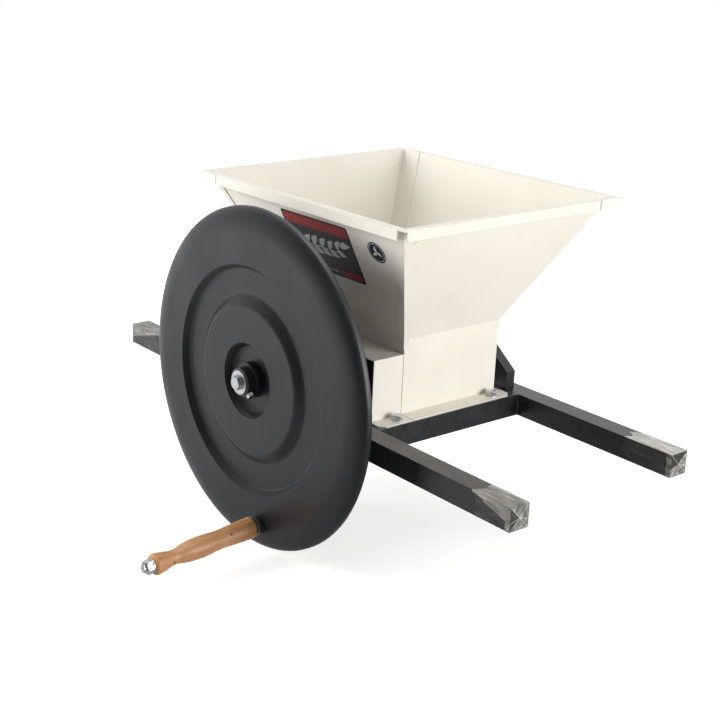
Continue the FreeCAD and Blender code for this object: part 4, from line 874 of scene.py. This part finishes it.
def above_slant(back, z):
    return z > SLANT_FOOT + SLANT * (back - CORNER_BAND)


def near_end(back, y, z, n):
    if back < ON_END:
        return int(y > -0.006)
    if n.y < -0.9:
        return int(back < CORNER_BAND or above_slant(back, z))
    # the tops get the milkier film, which also paints the light on them
    return int(n.z > 0.9)


def far_end(back, y, z, n):
    if back < ON_END:
        return int(y > 0.006 or z < 0.01)
    if n.y < -0.9:
        return int(back < CORNER_BAND)
    # the tops at this end get the almost white film, a painted highlight
    return 2 if n.z > 0.9 else 0


def rear_end(back, y, z, n):
    # the tops get the milkier film, which also paints the light on them
    return int(n.z > 0.9 or above_slant(back, z))


# which end in X and Y, how far the film reaches in, and how it lies
sleeves = [film_sleeve("film_front_near", 1, -1, 0.064, near_end),
           film_sleeve("film_front_far", 1, 1, 0.077, far_end),
           film_sleeve("film_rear_near", -1, -1, 0.110, rear_end),
           film_sleeve("film_rear_far", -1, 1, 0.080, rear_end)]
print(len(sleeves), "film sleeves of", [len(s.data.polygons) for s in sleeves], "faces")

# %% [markdown]
# The mill stands on a pale floor in a white room. The floor's own colour is a light grey,
# and to the camera it also glows a little, more and more away from the mill, so that it
# reads as white and still keeps the mill's shadow. Reflections get that glow on the left
# only, and a darker floor on the right, as from a studio's black cloth: the wheel's broad
# face mirrors the left and its slopes mirror the right, so its shape stays readable.

# %% Floor
FLOOR_WIDE = 14
FLOOR_NEAR_LIFT = 0.62

floor_z = cad_low.z - 0.001
bpy.ops.object.select_all(action="DESELECT")
bpy.ops.mesh.primitive_plane_add(size=FLOOR_WIDE, location=(0, 0, floor_z))
floor = settle("floor")
material, tree, shader, place = finish("studio_floor", Roughness=0.9)
shader.inputs["Specular IOR Level"].default_value = 0.0
shader.inputs["Emission Color"].default_value = (1, 1, 1, 1)
rays = add(tree, "ShaderNodeLightPath")
away = add(tree, "ShaderNodeVectorMath", links={0: place}, operation="LENGTH")
lift = add(tree, "ShaderNodeMapRange", {"From Min": 0.7, "From Max": 2.0,
                                        "To Min": FLOOR_NEAR_LIFT, "To Max": 1.0},
           {"Value": away.outputs["Value"]})
paint = add(tree, "ShaderNodeMix", {6: colour("DEDEDD"), 7: colour("8E8E8E")},
            {0: rays.outputs["Is Glossy Ray"]}, data_type="RGBA")
tree.links.new(paint.outputs[2], shader.inputs["Base Color"])
direct = add(tree, "ShaderNodeMath", links={0: rays.outputs["Is Camera Ray"],
                                            1: rays.outputs["Is Transmission Ray"]},
             operation="MAXIMUM")
apart = add(tree, "ShaderNodeSeparateXYZ", links={0: place})
to_left = add(tree, "ShaderNodeMapRange", {"From Min": -0.3, "From Max": 0.4, "To Min": 1.1,
                                           "To Max": 0.0}, {"Value": apart})
mirrored = add(tree, "ShaderNodeMath", links={0: rays.outputs["Is Glossy Ray"], 1: to_left},
               operation="MULTIPLY")
seen = add(tree, "ShaderNodeMath", links={0: direct, 1: mirrored}, operation="MAXIMUM")
glow = add(tree, "ShaderNodeMath", links={0: seen, 1: lift}, operation="MULTIPLY")
tree.links.new(glow.outputs[0], shader.inputs["Emission Strength"])
floor.data.materials.append(material)
print("floor at", round(floor_z, 4))

# %% [markdown]
# The room is white to the camera. As light it is weak, so that the lamps shape the mill, and
# in reflections it is darker behind the camera, which keeps the wheel's slopes deep.

# %% Room
ROOM_LIGHT = 0.22
DARK_SIDE = (0.36, -0.90, 0.24)  # the way in which reflections find the room darkest

scene = bpy.context.scene
scene.view_settings.view_transform = "Standard"
world = bpy.data.worlds.new("studio")
scene.world = world
world.use_nodes = True
tree = world.node_tree
back = tree.nodes["Background"]
back.inputs["Color"].default_value = (1, 1, 1, 1)
rays = add(tree, "ShaderNodeLightPath")
way = add(tree, "ShaderNodeTexCoord")
facing = add(tree, "ShaderNodeVectorMath", {1: DARK_SIDE},
             {0: way.outputs["Generated"]}, operation="DOT_PRODUCT")
dim = add(tree, "ShaderNodeMapRange", {"From Min": 0.1, "From Max": 0.85, "To Min": 1.0,
                                       "To Max": 0.12}, {"Value": facing.outputs["Value"]})
mirrored = add(tree, "ShaderNodeMath", links={0: rays.outputs["Is Glossy Ray"], 1: dim},
               operation="MULTIPLY")
light = add(tree, "ShaderNodeMath", {1: ROOM_LIGHT},
            {0: rays.outputs["Is Diffuse Ray"], 2: mirrored}, operation="MULTIPLY_ADD")
direct = add(tree, "ShaderNodeMath", links={0: rays.outputs["Is Camera Ray"],
                                            1: rays.outputs["Is Transmission Ray"]},
             operation="MAXIMUM")
total = add(tree, "ShaderNodeMath", links={0: light, 1: direct}, operation="ADD")
tree.links.new(total.outputs[0], back.inputs["Strength"])
print("room light", ROOM_LIGHT)


# %% [markdown]
# Three soft lamps: a broad one in front lights the hopper's front, a low one on the wheel's
# side lights the rims and leaves the near wall in the wheel's shadow, and one stands above.
# The lamp on the wheel's side is kept out of reflections, as if it were endlessly broad.

# %% Lamps
def lamp(name, place, target, size, power):
    # a square lamp turned towards the target; size in metres, power in watts
    data = bpy.data.lights.new(name, "AREA")
    data.shape = "SQUARE"
    data.size = size
    data.energy = power
    light = bpy.data.objects.new(name, data)
    scene.collection.objects.link(light)
    light.location = place
    light.rotation_euler = (Vector(target) - Vector(place)).to_track_quat("-Z", "Y").to_euler()
    return light


lamp("lamp_front", (2.5, 0.9, 0.6), (0, 0, 0.15), 1.4, 56)
wheel_side = lamp("lamp_wheel_side", (-1.6, -2.3, 1.0), (0, 0, 0.15), 1.4, 80)
wheel_side.visible_glossy = False
lamp("lamp_above", (0.0, 0.5, 2.5), (0, 0, 0.1), 1.6, 26)
print("three lamps")

# %% [markdown]
# Last, the mill's box as constructed is printed once more.

# %% The box as constructed
print("built", [round(v, 4) for v in cad_low], [round(v, 4) for v in cad_high])
